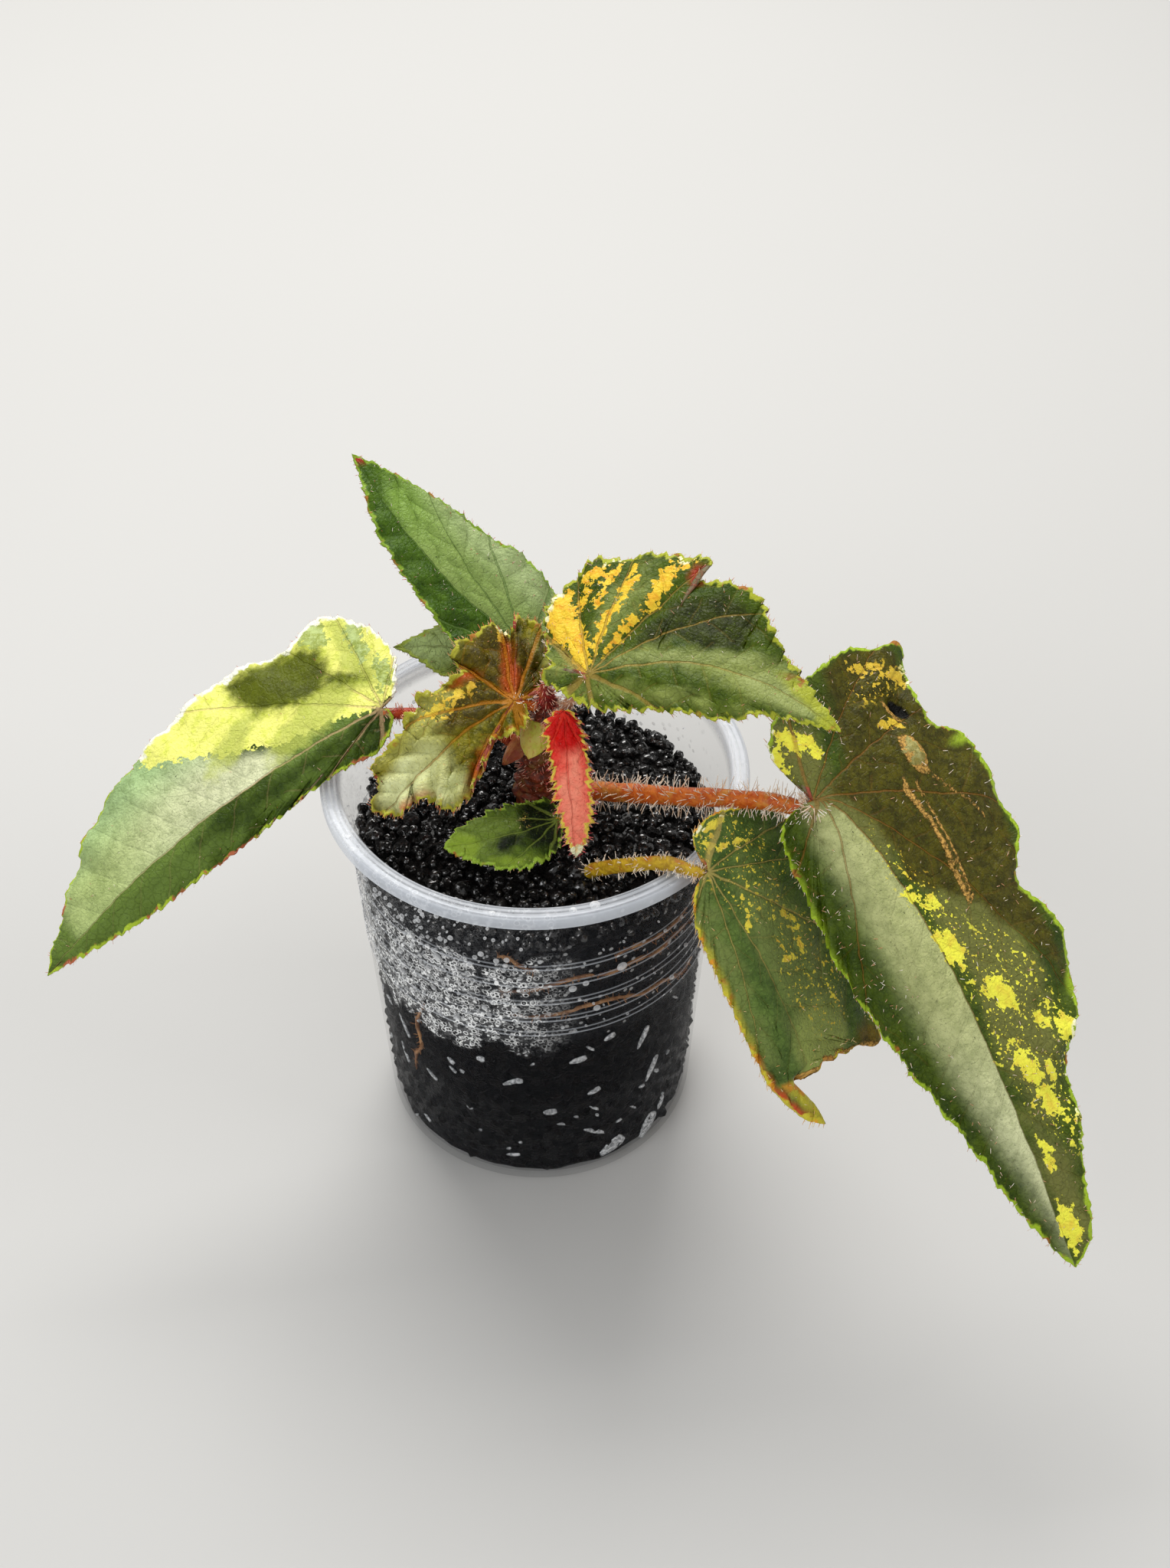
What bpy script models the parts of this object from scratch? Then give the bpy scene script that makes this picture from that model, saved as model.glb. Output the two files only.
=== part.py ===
# A young variegated begonia in a clear 90 mm nursery cup.
# The origin is the centre of the cup's base, +Z is up, and -Y is the front. Sizes are in millimetres.

import math

import bmesh
import bpy
from mathutils import Matrix, Vector
from mathutils.geometry import interpolate_bezier

MM = 0.001
GAP = 0.3

# Cup
CUP_HEIGHT = 96.0
RIM_RADIUS = 45.0
RIM_DEPTH = 2.8
MOUTH_RADIUS = 41.3
WALL_TOP_RADIUS = 40.3
WALL_FOOT_RADIUS = 34.8
WALL_THICKNESS = 0.8
FLOOR_THICKNESS = 1.4
FOOT_CORNER = 2.6
BEAD_HEIGHTS = (75.5, 70.1, 64.3, 58.7, 54.0)
BEAD_PROUD = 0.35
BEAD_HALF_WIDTH = 0.7
CUP_STEPS = 48

# Substrate
SOIL_CROWN = 84.0
SOIL_EDGE = 80.5
ROOT_BAND_FOOT = 26.0
ROOT_BAND_CLEARANCE = 1.5
WALL_CLEARANCE = 0.5
SOIL_STEPS = 40
SOCKET_SIDES = 16
STALK_SOCKET_CENTRE = (11.6, -18.6)
STALK_SOCKET_RADIUS = 3.6

# Stem
STEM_FOOT = (0.2, 1.8, 68.0)
STEM_COLLAR = (0.2, 1.8, 85.0)
STEM_MIDDLE = (1.4, 1.2, 98.0)
STEM_APEX = (3.4, 0.6, 111.0)
STEM_RADII = (3.6, 4.4, 4.2, 3.2)

# Leaves, stipules and roots
BLADE_THICKNESS = 0.6
STIPULE_THICKNESS = 0.4
BLADE_CELLS_ACROSS = 3
RIB_SAMPLES = 60
ROOT_RADIUS = 0.45
ROOT_STEPS = 5


def metres(point):
    return Vector(point) * MM


def clear_scene():
    for old in list(bpy.data.objects):
        bpy.data.objects.remove(old, do_unlink=True)


def new_collection(name, is_helper=False):
    made = bpy.data.collections.new(name)
    made.hide_render = is_helper
    bpy.context.scene.collection.children.link(made)
    return made


def make_material(name, colour, roughness, metallic=0.0, alpha=1.0):
    material = bpy.data.materials.new(name)
    material.use_nodes = True
    shader = material.node_tree.nodes["Principled BSDF"]
    shader.inputs["Base Color"].default_value = (*colour, 1.0)
    shader.inputs["Roughness"].default_value = roughness
    shader.inputs["Metallic"].default_value = metallic
    shader.inputs["Alpha"].default_value = alpha
    return material


def add_mesh_object(name, mesh, collection, material):
    made = bpy.data.objects.new(name, mesh)
    made.data.materials.append(material)
    collection.objects.link(made)
    return made


def shade_round(mesh, degrees=40):
    mesh.shade_smooth()
    mesh.set_sharp_from_angle(angle=math.radians(degrees))


# Turns a profile of (radius, height) points, given down its outer side, about the vertical axis.
def turned(name, profile, steps, collection, material):
    mesh = bpy.data.meshes.new(name)
    shape = bmesh.new()
    ring = [shape.verts.new(metres((radius, 0, height))) for radius, height in profile]
    for upper, lower in zip(ring, ring[1:]):
        shape.edges.new((upper, lower))
    shape.to_mesh(mesh)
    shape.free()
    made = add_mesh_object(name, mesh, collection, material)
    screw = made.modifiers.new("turn", "SCREW")
    screw.axis = "Z"
    screw.steps = steps
    screw.render_steps = steps
    screw.use_merge_vertices = True
    screw.merge_threshold = 0.00001
    screw.use_smooth_shade = True
    return made


# A round stalk or root through points (x, y, z, radius), smooth between them.
def stalk(name, points, collection, material, sides=2, smooth_steps=3):
    curve = bpy.data.curves.new(name, "CURVE")
    curve.dimensions = "3D"
    curve.bevel_depth = MM
    curve.bevel_resolution = sides
    curve.use_fill_caps = True
    path = smoothed(points, smooth_steps)
    spline = curve.splines.new("POLY")
    spline.points.add(len(path) - 1)
    for target, (x, y, z, radius) in zip(spline.points, path):
        target.co = (x * MM, y * MM, z * MM, 1.0)
        target.radius = radius
    spline.use_smooth = True
    made = bpy.data.objects.new(name, curve)
    made.data.materials.append(material)
    collection.objects.link(made)
    return made


# Points on a Catmull-Rom curve through the given ones, which may have any number of values each.
def smoothed(points, steps):
    path = []
    last = len(points) - 1
    for index in range(last):
        before = points[max(index - 1, 0)]
        start = points[index]
        end = points[index + 1]
        after = points[min(index + 2, last)]
        for step in range(steps):
            t = step / steps
            path.append(tuple(catmull_rom(values, t) for values in zip(before, start, end, after)))
    path.append(tuple(points[-1]))
    return path


def catmull_rom(values, t):
    before, start, end, after = values
    slope_in = (end - before) / 2
    slope_out = (after - start) / 2
    return (
        start * (2 * t**3 - 3 * t**2 + 1)
        + slope_in * (t**3 - 2 * t**2 + t)
        + end * (3 * t**2 - 2 * t**3)
        + slope_out * (t**3 - t**2)
    )


def wall_radius(height):
    return WALL_FOOT_RADIUS + (WALL_TOP_RADIUS - WALL_FOOT_RADIUS) * height / CUP_HEIGHT


def inner_radius(height):
    return wall_radius(height) - WALL_THICKNESS


# The profile runs from the middle of the inner floor, up inside, over the rim and down outside.
def cup_profile():
    top = CUP_HEIGHT
    skirt_foot = top - RIM_DEPTH
    profile = [
        (0, FLOOR_THICKNESS),
        (inner_radius(0) - FOOT_CORNER, FLOOR_THICKNESS),
        (inner_radius(0) - 0.3 * FOOT_CORNER, FLOOR_THICKNESS + 0.3 * FOOT_CORNER),
        (inner_radius(4), FLOOR_THICKNESS + FOOT_CORNER),
        (inner_radius(top - 5), top - 5),
        (MOUTH_RADIUS - 0.5, top - 0.8),
        (MOUTH_RADIUS + 0.5, top),
        (RIM_RADIUS - 0.8, top),
        (RIM_RADIUS, top - 0.8),
        (RIM_RADIUS, skirt_foot),
        (RIM_RADIUS - 0.9, skirt_foot),
        (RIM_RADIUS - 1.1, top - 1.4),
        (MOUTH_RADIUS + 0.8, top - 1.6),
        (wall_radius(top - 5), top - 5),
    ]
    for height in BEAD_HEIGHTS:
        for side in (1, -1):
            edge = height + side * BEAD_HALF_WIDTH
            crest = height + side * BEAD_HALF_WIDTH / 3
            pair = [(wall_radius(edge), edge), (wall_radius(crest) + BEAD_PROUD, crest)]
            profile += pair if side > 0 else pair[::-1]
    foot = [
        (wall_radius(FOOT_CORNER), FOOT_CORNER),
        (wall_radius(0) - 0.3 * FOOT_CORNER, 0.3 * FOOT_CORNER),
        (wall_radius(0) - FOOT_CORNER, 0),
        (0, 0),
    ]
    return profile + foot


def soil_profile():
    upper = inner_radius(SOIL_EDGE) - ROOT_BAND_CLEARANCE
    lower = inner_radius(ROOT_BAND_FOOT)
    foot = FLOOR_THICKNESS + WALL_CLEARANCE
    return [
        (0, SOIL_CROWN),
        (16, SOIL_CROWN - 0.2),
        (29, SOIL_CROWN - 1.6),
        (upper - 2.0, SOIL_EDGE),
        (upper, SOIL_EDGE - 1.5),
        (inner_radius(ROOT_BAND_FOOT + 3) - ROOT_BAND_CLEARANCE, ROOT_BAND_FOOT + 3),
        (lower - WALL_CLEARANCE, ROOT_BAND_FOOT),
        (inner_radius(6) - WALL_CLEARANCE, 6),
        (inner_radius(0) - FOOT_CORNER - WALL_CLEARANCE, foot),
        (0, foot),
    ]


# An upright hole in the substrate for a stem or stalk that is rooted in it.
def socket_cutter(name, centre, radius, depth, helpers, material):
    mesh = bpy.data.meshes.new(name)
    shape = bmesh.new()
    height = depth + 10
    middle = metres((centre[0], centre[1], SOIL_CROWN - depth + height / 2))
    bmesh.ops.create_cone(
        shape,
        cap_ends=True,
        segments=SOCKET_SIDES,
        radius1=radius * MM,
        radius2=radius * MM,
        depth=height * MM,
        matrix=Matrix.Translation(middle),
    )
    shape.to_mesh(mesh)
    shape.free()
    made = add_mesh_object(name, mesh, helpers, material)
    made.hide_render = True
    made.display_type = "WIRE"
    return made


def cut(target, cutter):
    boolean = target.modifiers.new(cutter.name, "BOOLEAN")
    boolean.operation = "DIFFERENCE"
    boolean.object = cutter


# A leaf's midrib as samples: places, directions and distances from the joint.
def midrib(leaf):
    joint = Vector(leaf["joint"])
    tip = Vector(leaf["tip"])
    bow = Vector(leaf["bow"]) * 4 / 3
    near = joint + (tip - joint) / 3 + bow
    far = joint + (tip - joint) * 2 / 3 + bow
    places = interpolate_bezier(joint, near, far, tip, RIB_SAMPLES)
    distances = [0.0]
    for here, there in zip(places, places[1:]):
        distances.append(distances[-1] + (there - here).length)
    return places, distances


# Where a point of the flattened blade lies. Along is measured down the midrib from the joint, and out is
# measured across it, positive on the left as seen from above the blade with the tip ahead.
def blade_place(leaf, rib, along, out):
    places, distances = rib
    length = distances[-1]
    held = min(max(along, 0.0), length)
    index = min(sum(distance <= held for distance in distances), len(places) - 1)
    span = distances[index] - distances[index - 1]
    part = (held - distances[index - 1]) / span
    forward = (places[index] - places[index - 1]).normalized()
    centre = places[index - 1].lerp(places[index], part) + forward * (along - held)
    up = Vector(leaf["up_joint"]).lerp(Vector(leaf["up_tip"]), held / length)
    up = (up - forward * up.dot(forward)).normalized()
    left = up.cross(forward)
    slope, curl = leaf["left_fold"] if out > 0 else leaf["right_fold"]
    curl = curl or 0.0001
    reach = abs(out)
    sideways = (math.sin(slope + curl * reach) - math.sin(slope)) / curl
    rise = (math.cos(slope) - math.cos(slope + curl * reach)) / curl
    return centre + left * math.copysign(sideways, out) + up * rise


# Evenly spaced places along a polyline of (along, out) points.
def along_outline(points, part):
    lengths = [math.dist(a, b) for a, b in zip(points, points[1:])]
    goal = part * sum(lengths)
    for start, end, length in zip(points, points[1:], lengths):
        if goal <= length:
            t = goal / length
            return tuple(a + (b - a) * t for a, b in zip(start, end))
        goal -= length
    return points[-1]


# A blade is one grid. Its rows fan out from the joint over the basal lobes, then step down the midrib.
def blade(name, leaf, collection, material):
    rib = midrib(leaf)
    length = rib[1][-1]
    sides = {
        1: leaf["left"] + [(length, 0.0)],
        -1: leaf["right"] + [(length, 0.0)],
    }
    mesh = bpy.data.meshes.new(name)
    shape = bmesh.new()
    bmesh.ops.create_grid(
        shape,
        x_segments=2 * BLADE_CELLS_ACROSS,
        y_segments=leaf["rows"],
        size=1.0,
    )
    for vert in shape.verts:
        across = -vert.co.x
        row = (vert.co.y + 1) / 2
        fan = leaf["fan"]
        foot = length * max(0.0, (row - fan) / (1 - fan))
        edge = along_outline(sides[1 if across > 0 else -1], row)
        share = abs(across)
        along = foot + (edge[0] - foot) * share
        out = edge[1] * share
        vert.co = blade_place(leaf, rib, along, out) * MM
    bmesh.ops.remove_doubles(shape, verts=shape.verts, dist=0.00002)
    shape.to_mesh(mesh)
    shape.free()
    made = add_mesh_object(name, mesh, collection, material)
    solidify = made.modifiers.new("thickness", "SOLIDIFY")
    solidify.thickness = BLADE_THICKNESS * MM
    solidify.offset = 0.0
    shade_round(made.data)
    return made


# A stipule is a small pointed scale, cupped about the stem.
def stipule(name, place, turn, lean, size, collection, material):
    length, width, cup = size
    mesh = bpy.data.meshes.new(name)
    shape = bmesh.new()
    bmesh.ops.create_grid(shape, x_segments=4, y_segments=6, size=1.0)
    for vert in shape.verts:
        row = (vert.co.y + 1) / 2
        half = width / 2 * math.sin(math.pi * min(0.12 + 0.9 * row, 1.0)) ** 0.7
        across = vert.co.x * half
        vert.co = metres((across, cup * (across / width) ** 2, length * row))
    bmesh.ops.remove_doubles(shape, verts=shape.verts, dist=0.00002)
    shape.to_mesh(mesh)
    shape.free()
    made = add_mesh_object(name, mesh, collection, material)
    made.location = metres(place)
    made.rotation_euler = (math.radians(lean), 0, math.radians(turn))
    solidify = made.modifiers.new("thickness", "SOLIDIFY")
    solidify.thickness = STIPULE_THICKNESS * MM
    solidify.offset = 0.0
    shade_round(made.data)
    return made


# A root that runs round between the substrate and the wall.
def wall_root(name, route, collection, material):
    points = []
    for angle, height in smoothed(route, ROOT_STEPS):
        radius = inner_radius(height) - ROOT_BAND_CLEARANCE / 2
        turn = math.radians(angle)
        points.append((radius * math.cos(turn), radius * math.sin(turn), height, ROOT_RADIUS))
    return stalk(name, points, collection, material, sides=1, smooth_steps=1)


RIGHT_LEAF = {
    "joint": (55.3, -26.3, 110.5),
    "tip": (106.6, -89.1, 44.0),
    "bow": (0, 0, 5),
    "up_joint": (0.25, -0.62, 0.74),
    "up_tip": (0.15, -0.5, 0.83),
    "left_fold": (-0.08, -0.006),
    "right_fold": (-0.5, -0.025),
    "fan": 0.3,
    "rows": 20,
    "left": [
        (-2.5, 0.8), (-7.5, -1.5), (-13, -1.5), (-18.5, 4), (-21.5, 14.5), (-22.8, 27), (-20, 32),
        (-19, 38), (-14, 36.5), (-7, 33.2), (-1, 33.2), (4, 38.8), (17.5, 37.2), (25, 37), (34, 30.5),
        (44, 32.8), (57.5, 30), (69.5, 19.7), (81, 15), (92.5, 10), (101.5, 6),
    ],
    "right": [
        (-0.6, -1.8), (0.6, -7.3), (5, -10.5), (16, -12.3), (32, -14.2), (46, -13.4), (58.5, -11.3),
        (75, -8), (88, -5.8), (100, -2.2),
    ],
}

LOWER_RIGHT_LEAF = {
    "joint": (34.6, -34.6, 99.2),
    "tip": (59.3, -60.0, 52.0),
    "bow": (-1, 0, 3),
    "up_joint": (0.45, -0.57, 0.66),
    "up_tip": (0.45, -0.5, 0.7),
    "left_fold": (-0.05, -0.004),
    "right_fold": (-0.35, -0.04),
    "fan": 0.34,
    "rows": 16,
    "left": [
        (-1.5, 0.6), (-5.5, 0.2), (-8.5, 2.5), (-9, 9), (-4.5, 19), (2, 24.5), (14, 23), (28, 21.7),
        (50, 21.5), (52.5, 19), (49.6, 12), (47.7, 2.5), (48, 1),
    ],
    "right": [
        (0.8, -1.4), (2.4, -3.7), (6, -5.6), (12, -6.9), (27, -7.1), (42, -7.2), (52.5, -5.8),
    ],
}

LEFT_LEAF = {
    "joint": (-31.3, 1.8, 110.0),
    "tip": (-101.1, -32.1, 66.0),
    "bow": (0, 0, 4),
    "up_joint": (0, -0.2, 1),
    "up_tip": (0, -0.3, 1),
    "left_fold": (-0.45, -0.01),
    "right_fold": (-0.05, -0.003),
    "fan": 0.3,
    "rows": 18,
    "left": [
        (-1.2, 0.9), (-0.8, 3.3), (1.5, 5.4), (6.2, 7.2), (12, 6.4), (20, 6), (37, 6.8), (51, 6.3),
        (66, 5.3), (79, 2.6),
    ],
    "right": [
        (-1.5, -0.6), (-4.5, -2.6), (-7.6, -9), (-7.8, -16), (-5, -24.5), (-0.5, -29.6), (4, -30.5),
        (10, -27.3), (20, -29.8), (30, -31.1), (44, -27.7), (55, -23.7), (67, -19), (67.6, -15.7),
        (80, -8),
    ],
}

REAR_LEAF = {
    "joint": (-1.5, 19.8, 110.0),
    "tip": (-39.5, 53.9, 137.0),
    "bow": (0, 0, 3),
    "up_joint": (0.1, -0.45, 0.88),
    "up_tip": (0.1, -0.45, 0.88),
    "left_fold": (0.12, 0.0),
    "right_fold": (0.0, 0.0),
    "fan": 0.3,
    "rows": 14,
    "left": [
        (-1.6, 0.8), (-3.5, 4.5), (0, 9.5), (6, 12), (16, 12.2), (26, 11.7), (40, 9.2), (53, 2.5),
    ],
    "right": [
        (-1.6, -0.9), (-5.5, -5), (-3.5, -10), (2, -12.4), (16, -12.5), (24, -9.5), (35, -7),
        (50, -2.5),
    ],
}

UPPER_RIGHT_LEAF = {
    "joint": (11.1, -5.1, 125.0),
    "tip": (59.8, -23.8, 126.0),
    "bow": (0, 0, 4),
    "up_joint": (0.1, -0.4, 0.9),
    "up_tip": (0.1, -0.4, 0.9),
    "left_fold": (0.0, 0.0),
    "right_fold": (-0.3, -0.02),
    "fan": 0.42,
    "rows": 18,
    "left": [
        (-2.4, 1.6), (-6.5, 1.8), (-9.5, 5.5), (-12, 10), (-12.7, 14.6), (-10.5, 20), (-4.7, 26),
        (1, 27), (13.5, 28.4), (18, 28), (16, 23.6), (28, 22.6), (32.7, 16), (39, 8.2), (50, 3.2),
    ],
    "right": [
        (-2.0, -1.2), (-4.8, -2.5), (-1, -4.6), (4, -5.8), (11.5, -6.2), (23, -5.9), (30, -5.6),
        (38, -2.4),
    ],
}

CRINKLED_LEAF = {
    "joint": (-3.7, -2.8, 116.0),
    "tip": (-33.0, -16.4, 98.0),
    "bow": (0, 0, 5),
    "up_joint": (-0.1, -0.4, 0.9),
    "up_tip": (-0.2, -0.3, 0.93),
    "left_fold": (-0.15, -0.01),
    "right_fold": (0.0, 0.0),
    "fan": 0.5,
    "rows": 20,
    "left": [
        (-2.2, 1.1), (-1.6, 3.9), (2, 6.4), (8.4, 6), (13.3, 9.6), (20.3, 12.7), (24.8, 12.7),
        (26.6, 8.4), (30.2, 5.4), (33.3, 6),
    ],
    "right": [
        (-2.0, -1.4), (-6.5, -5.5), (-10.6, -9.5), (-11.3, -14.1), (-9, -18.1), (-5.9, -16.4),
        (-2.7, -18.4), (0.3, -17.9), (6.3, -13.2), (7.4, -9.8), (16.5, -11), (16, -7.6), (21, -8.3),
        (28.4, -5.3), (32.2, -6), (32.2, -3),
    ],
}

SMALL_REAR_LEAF = {
    "joint": (-8.0, 21.5, 109.0),
    "tip": (-30.3, 22.8, 109.0),
    "bow": (0, 0, 2),
    "up_joint": (0, -0.4, 0.9),
    "up_tip": (0, -0.4, 0.9),
    "left_fold": (-0.1, 0.0),
    "right_fold": (-0.1, 0.0),
    "fan": 0.3,
    "rows": 10,
    "left": [(-1, 1), (-1.5, 4), (1, 6.8), (7.3, 8), (12.8, 7), (17.3, 3.7)],
    "right": [(-1, -1), (-1, -3), (2.9, -6.6), (7.5, -6.4), (12, -4.7), (17, -2)],
}

RED_YOUNG_LEAF = {
    "joint": (6.2, -5.2, 115.4),
    "tip": (8.6, -19.8, 88.2),
    "bow": (0, -3, 0),
    "up_joint": (0, -1, 0.3),
    "up_tip": (0, -1, 0.2),
    "left_fold": (-0.25, 0.0),
    "right_fold": (-0.25, 0.0),
    "fan": 0.15,
    "rows": 12,
    "left": [(-0.3, 1), (0.6, 2), (3, 3), (8, 4.1), (16, 4.5), (23.6, 3.8), (29, 1.9)],
    "right": [(-0.3, -1), (0.6, -2.6), (3.6, -4.1), (9, -3.6), (17, -2.6), (24, -1.9), (29, -1)],
}

SMALL_LOW_LEAF = {
    "joint": (4.9, -8.9, 88.6),
    "tip": (-18.6, -17.2, 88.6),
    "bow": (0, 0, 1.6),
    "up_joint": (0, -0.1, 1),
    "up_tip": (0, -0.1, 1),
    "left_fold": (-0.06, 0.0),
    "right_fold": (-0.06, 0.0),
    "fan": 0.25,
    "rows": 12,
    "left": [(-0.9, 1), (0, 3), (2.3, 7), (8.5, 10.8), (13.4, 10.6), (19, 7.5), (22.8, 3.5)],
    "right": [(-1, -0.9), (-1.4, -3), (0, -6.2), (4, -6), (10.3, -5.5), (19, -3.7), (23, -1.8)],
}

# Each stalk is a list of (x, y, z, radius) from the stem to the blade it carries.
LEAVES = {
    "right_leaf": (RIGHT_LEAF, [
        (5.9, 1.8, 87.3, 2.1), (16.3, -3.6, 91.5, 2.0), (31.7, -14.3, 100.2, 1.9),
        (46.4, -22, 106.4, 1.8), (54.2, -25.6, 107.4, 1.6),
    ]),
    "lower_right_leaf": (LOWER_RIGHT_LEAF, [
        (11.4, -17.8, 80.5, 1.5), (12.4, -20.6, 85.6, 1.5), (20.6, -27.6, 94.2, 1.45),
        (26.9, -31.2, 98.0, 1.4), (31.0, -33.3, 98.4, 1.3), (33.8, -34.2, 97.2, 1.0),
    ]),
    "left_leaf": (LEFT_LEAF, [
        (-3.3, 3.2, 98.4, 1.5), (-11.5, 5.0, 103.6, 1.4), (-21.8, 3.4, 107.0, 1.3),
        (-31.2, 1.6, 107.7, 1.1),
    ]),
    "rear_leaf": (REAR_LEAF, [
        (2.3, 6.2, 100.5, 1.3), (1.4, 12.4, 105.0, 1.2), (-1.1, 20.0, 108.0, 1.0),
    ]),
    "upper_right_leaf": (UPPER_RIGHT_LEAF, [
        (6.2, -0.6, 112.3, 1.2), (8.8, -3.2, 118.4, 1.2), (11.2, -4.8, 123.35, 1.0),
    ]),
    "crinkled_leaf": (CRINKLED_LEAF, [
        (0.4, -0.9, 112.9, 1.1), (-2.2, -1.6, 114.3, 1.0), (-4.0, -2.6, 114.6, 0.9),
    ]),
    "small_rear_leaf": (SMALL_REAR_LEAF, [
        (-2.2, 4.9, 101.0, 1.0), (-5.9, 14.0, 103.2, 0.9), (-8.6, 21.6, 107.2, 0.8),
    ]),
    "red_young_leaf": (RED_YOUNG_LEAF, [
        (3.4, -3.9, 109.4, 0.9), (4.6, -4.4, 112.0, 0.9), (5.8, -4.0, 114.5, 0.7),
    ]),
    "small_low_leaf": (SMALL_LOW_LEAF, [
        (1.8, -3.4, 85.6, 0.9), (3.4, -6.2, 87.0, 0.9), (4.6, -8.9, 87.3, 0.8),
    ]),
}

# The growing tip, as (x, y, z, radius) from its foot up.
BUD = [(2.6, 0.6, 111.6, 1.6), (2.6, 0.2, 114.4, 1.9), (2.2, -0.4, 118.6, 0.5)]

# Each root is a route of (angle in degrees, height) round the inside of the wall.
WALL_ROOTS = {
    "wall_root_upper": [(-28, 68.2), (-47, 69.3), (-65, 69.3), (-82, 68.2), (-101, 65.2)],
    "wall_root_lower": [(-23, 53), (-37, 51), (-52, 55.5), (-64, 58.6), (-80, 57.8), (-92, 57.2)],
    "wall_root_short": [(-101, 77.5), (-94, 74.7), (-89, 73.6)],
    "wall_root_left": [(-135, 50), (-132, 44), (-136, 38), (-140, 32)],
}

# Each scale is its place, its turn and lean in degrees, and its length, width and cup.
STIPULES = {
    "front_stipule": ((0.6, -2.6, 110.2), -25, 150, (8.0, 6.4, -4.0)),
    "side_stipule": ((-2.2, 0.4, 104.8), -57, 142, (8.4, 5.0, -4.0)),
    "rear_stipule": ((5.2, 4.2, 104.0), 135, 155, (7.5, 5.2, -4.0)),
}


def build():
    clear_scene()
    parts = new_collection("potted_begonia")
    helpers = new_collection("cutters", is_helper=True)

    clear_plastic = make_material("clear_plastic", (0.86, 0.88, 0.9), 0.12, alpha=0.35)
    soil_black = make_material("substrate", (0.012, 0.011, 0.01), 0.45)
    green_blade = make_material("green_blade", (0.09, 0.17, 0.035), 0.35)
    crinkled_blade = make_material("crinkled_blade", (0.17, 0.14, 0.03), 0.4)
    red_blade = make_material("red_blade", (0.72, 0.07, 0.06), 0.4)
    stalk_red = make_material("stalk", (0.42, 0.13, 0.04), 0.5)
    stipule_tan = make_material("stipule", (0.46, 0.34, 0.12), 0.5)
    root_tan = make_material("root", (0.35, 0.17, 0.06), 0.6)

    turned("cup", cup_profile(), CUP_STEPS, parts, clear_plastic)

    soil = turned("substrate", soil_profile(), SOIL_STEPS, parts, soil_black)
    stem_depth = SOIL_CROWN - STEM_FOOT[2] + GAP
    stem_socket = socket_cutter(
        "stem_socket", STEM_FOOT, STEM_RADII[1] + GAP, stem_depth, helpers, soil_black
    )
    cut(soil, stem_socket)
    low_stalk = LEAVES["lower_right_leaf"][1]
    stalk_depth = SOIL_CROWN - low_stalk[0][2] + 4 * GAP
    stalk_socket = socket_cutter(
        "stalk_socket", STALK_SOCKET_CENTRE, STALK_SOCKET_RADIUS, stalk_depth, helpers, soil_black
    )
    cut(soil, stalk_socket)

    stem_points = [
        (*place, radius)
        for place, radius in zip((STEM_FOOT, STEM_COLLAR, STEM_MIDDLE, STEM_APEX), STEM_RADII)
    ]
    stalk("main_stem", stem_points, parts, stalk_red, sides=4)

    blade_materials = {"crinkled_leaf": crinkled_blade, "red_young_leaf": red_blade}
    for name, (leaf, route) in LEAVES.items():
        blade(name + "_blade", leaf, parts, blade_materials.get(name, green_blade))
        stalk(name + "_stalk", route, parts, stalk_red)

    stalk("terminal_bud", BUD, parts, red_blade)

    for name, (place, turn, lean, size) in STIPULES.items():
        stipule(name, place, turn, lean, size, parts, stipule_tan)

    for name, route in WALL_ROOTS.items():
        wall_root(name, route, parts, root_tan)


build()
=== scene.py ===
import math
import random

import bmesh
import bpy
import numpy as np
from mathutils import Matrix, Vector, noise


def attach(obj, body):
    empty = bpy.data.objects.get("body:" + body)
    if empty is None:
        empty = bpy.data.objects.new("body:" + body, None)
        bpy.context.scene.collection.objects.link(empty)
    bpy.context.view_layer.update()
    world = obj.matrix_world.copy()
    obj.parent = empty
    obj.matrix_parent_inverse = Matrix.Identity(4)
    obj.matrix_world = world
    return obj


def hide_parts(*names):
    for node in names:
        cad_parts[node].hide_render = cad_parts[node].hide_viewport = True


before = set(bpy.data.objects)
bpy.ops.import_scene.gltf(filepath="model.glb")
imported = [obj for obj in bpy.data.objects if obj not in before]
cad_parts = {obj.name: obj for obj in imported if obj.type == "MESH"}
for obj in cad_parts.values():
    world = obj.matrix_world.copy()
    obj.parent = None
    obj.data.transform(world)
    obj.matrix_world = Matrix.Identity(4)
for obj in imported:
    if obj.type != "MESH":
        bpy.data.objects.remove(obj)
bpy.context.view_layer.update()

mm = 0.001
print("frame loaded")


# shader helpers

def addNode(tree, kind, inputs=None, **settings):
    made = tree.nodes.new("ShaderNode" + kind)
    for name, value in settings.items():
        setattr(made, name, value)
    for key, value in (inputs or {}).items():
        if isinstance(value, bpy.types.NodeSocket):
            tree.links.new(value, made.inputs[key])
        else:
            made.inputs[key].default_value = value
    return made


def calc(tree, operation, *values):
    return addNode(tree, "Math", dict(enumerate(values)), operation=operation).outputs[0]


def blendColour(tree, share, first, second, how="MIX"):
    first = (*first, 1) if isinstance(first, tuple) and len(first) == 3 else first
    second = (*second, 1) if isinstance(second, tuple) and len(second) == 3 else second
    made = addNode(tree, "Mix", {0: share, 6: first, 7: second}, data_type="RGBA", blend_type=how)
    return made.outputs[2]


def fade(tree, value, low, high, start=0.0, end=1.0):
    inputs = {"Value": value, "From Min": low, "From Max": high, "To Min": start, "To Max": end}
    return addNode(tree, "MapRange", inputs, interpolation_type="SMOOTHSTEP").outputs[0]


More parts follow.
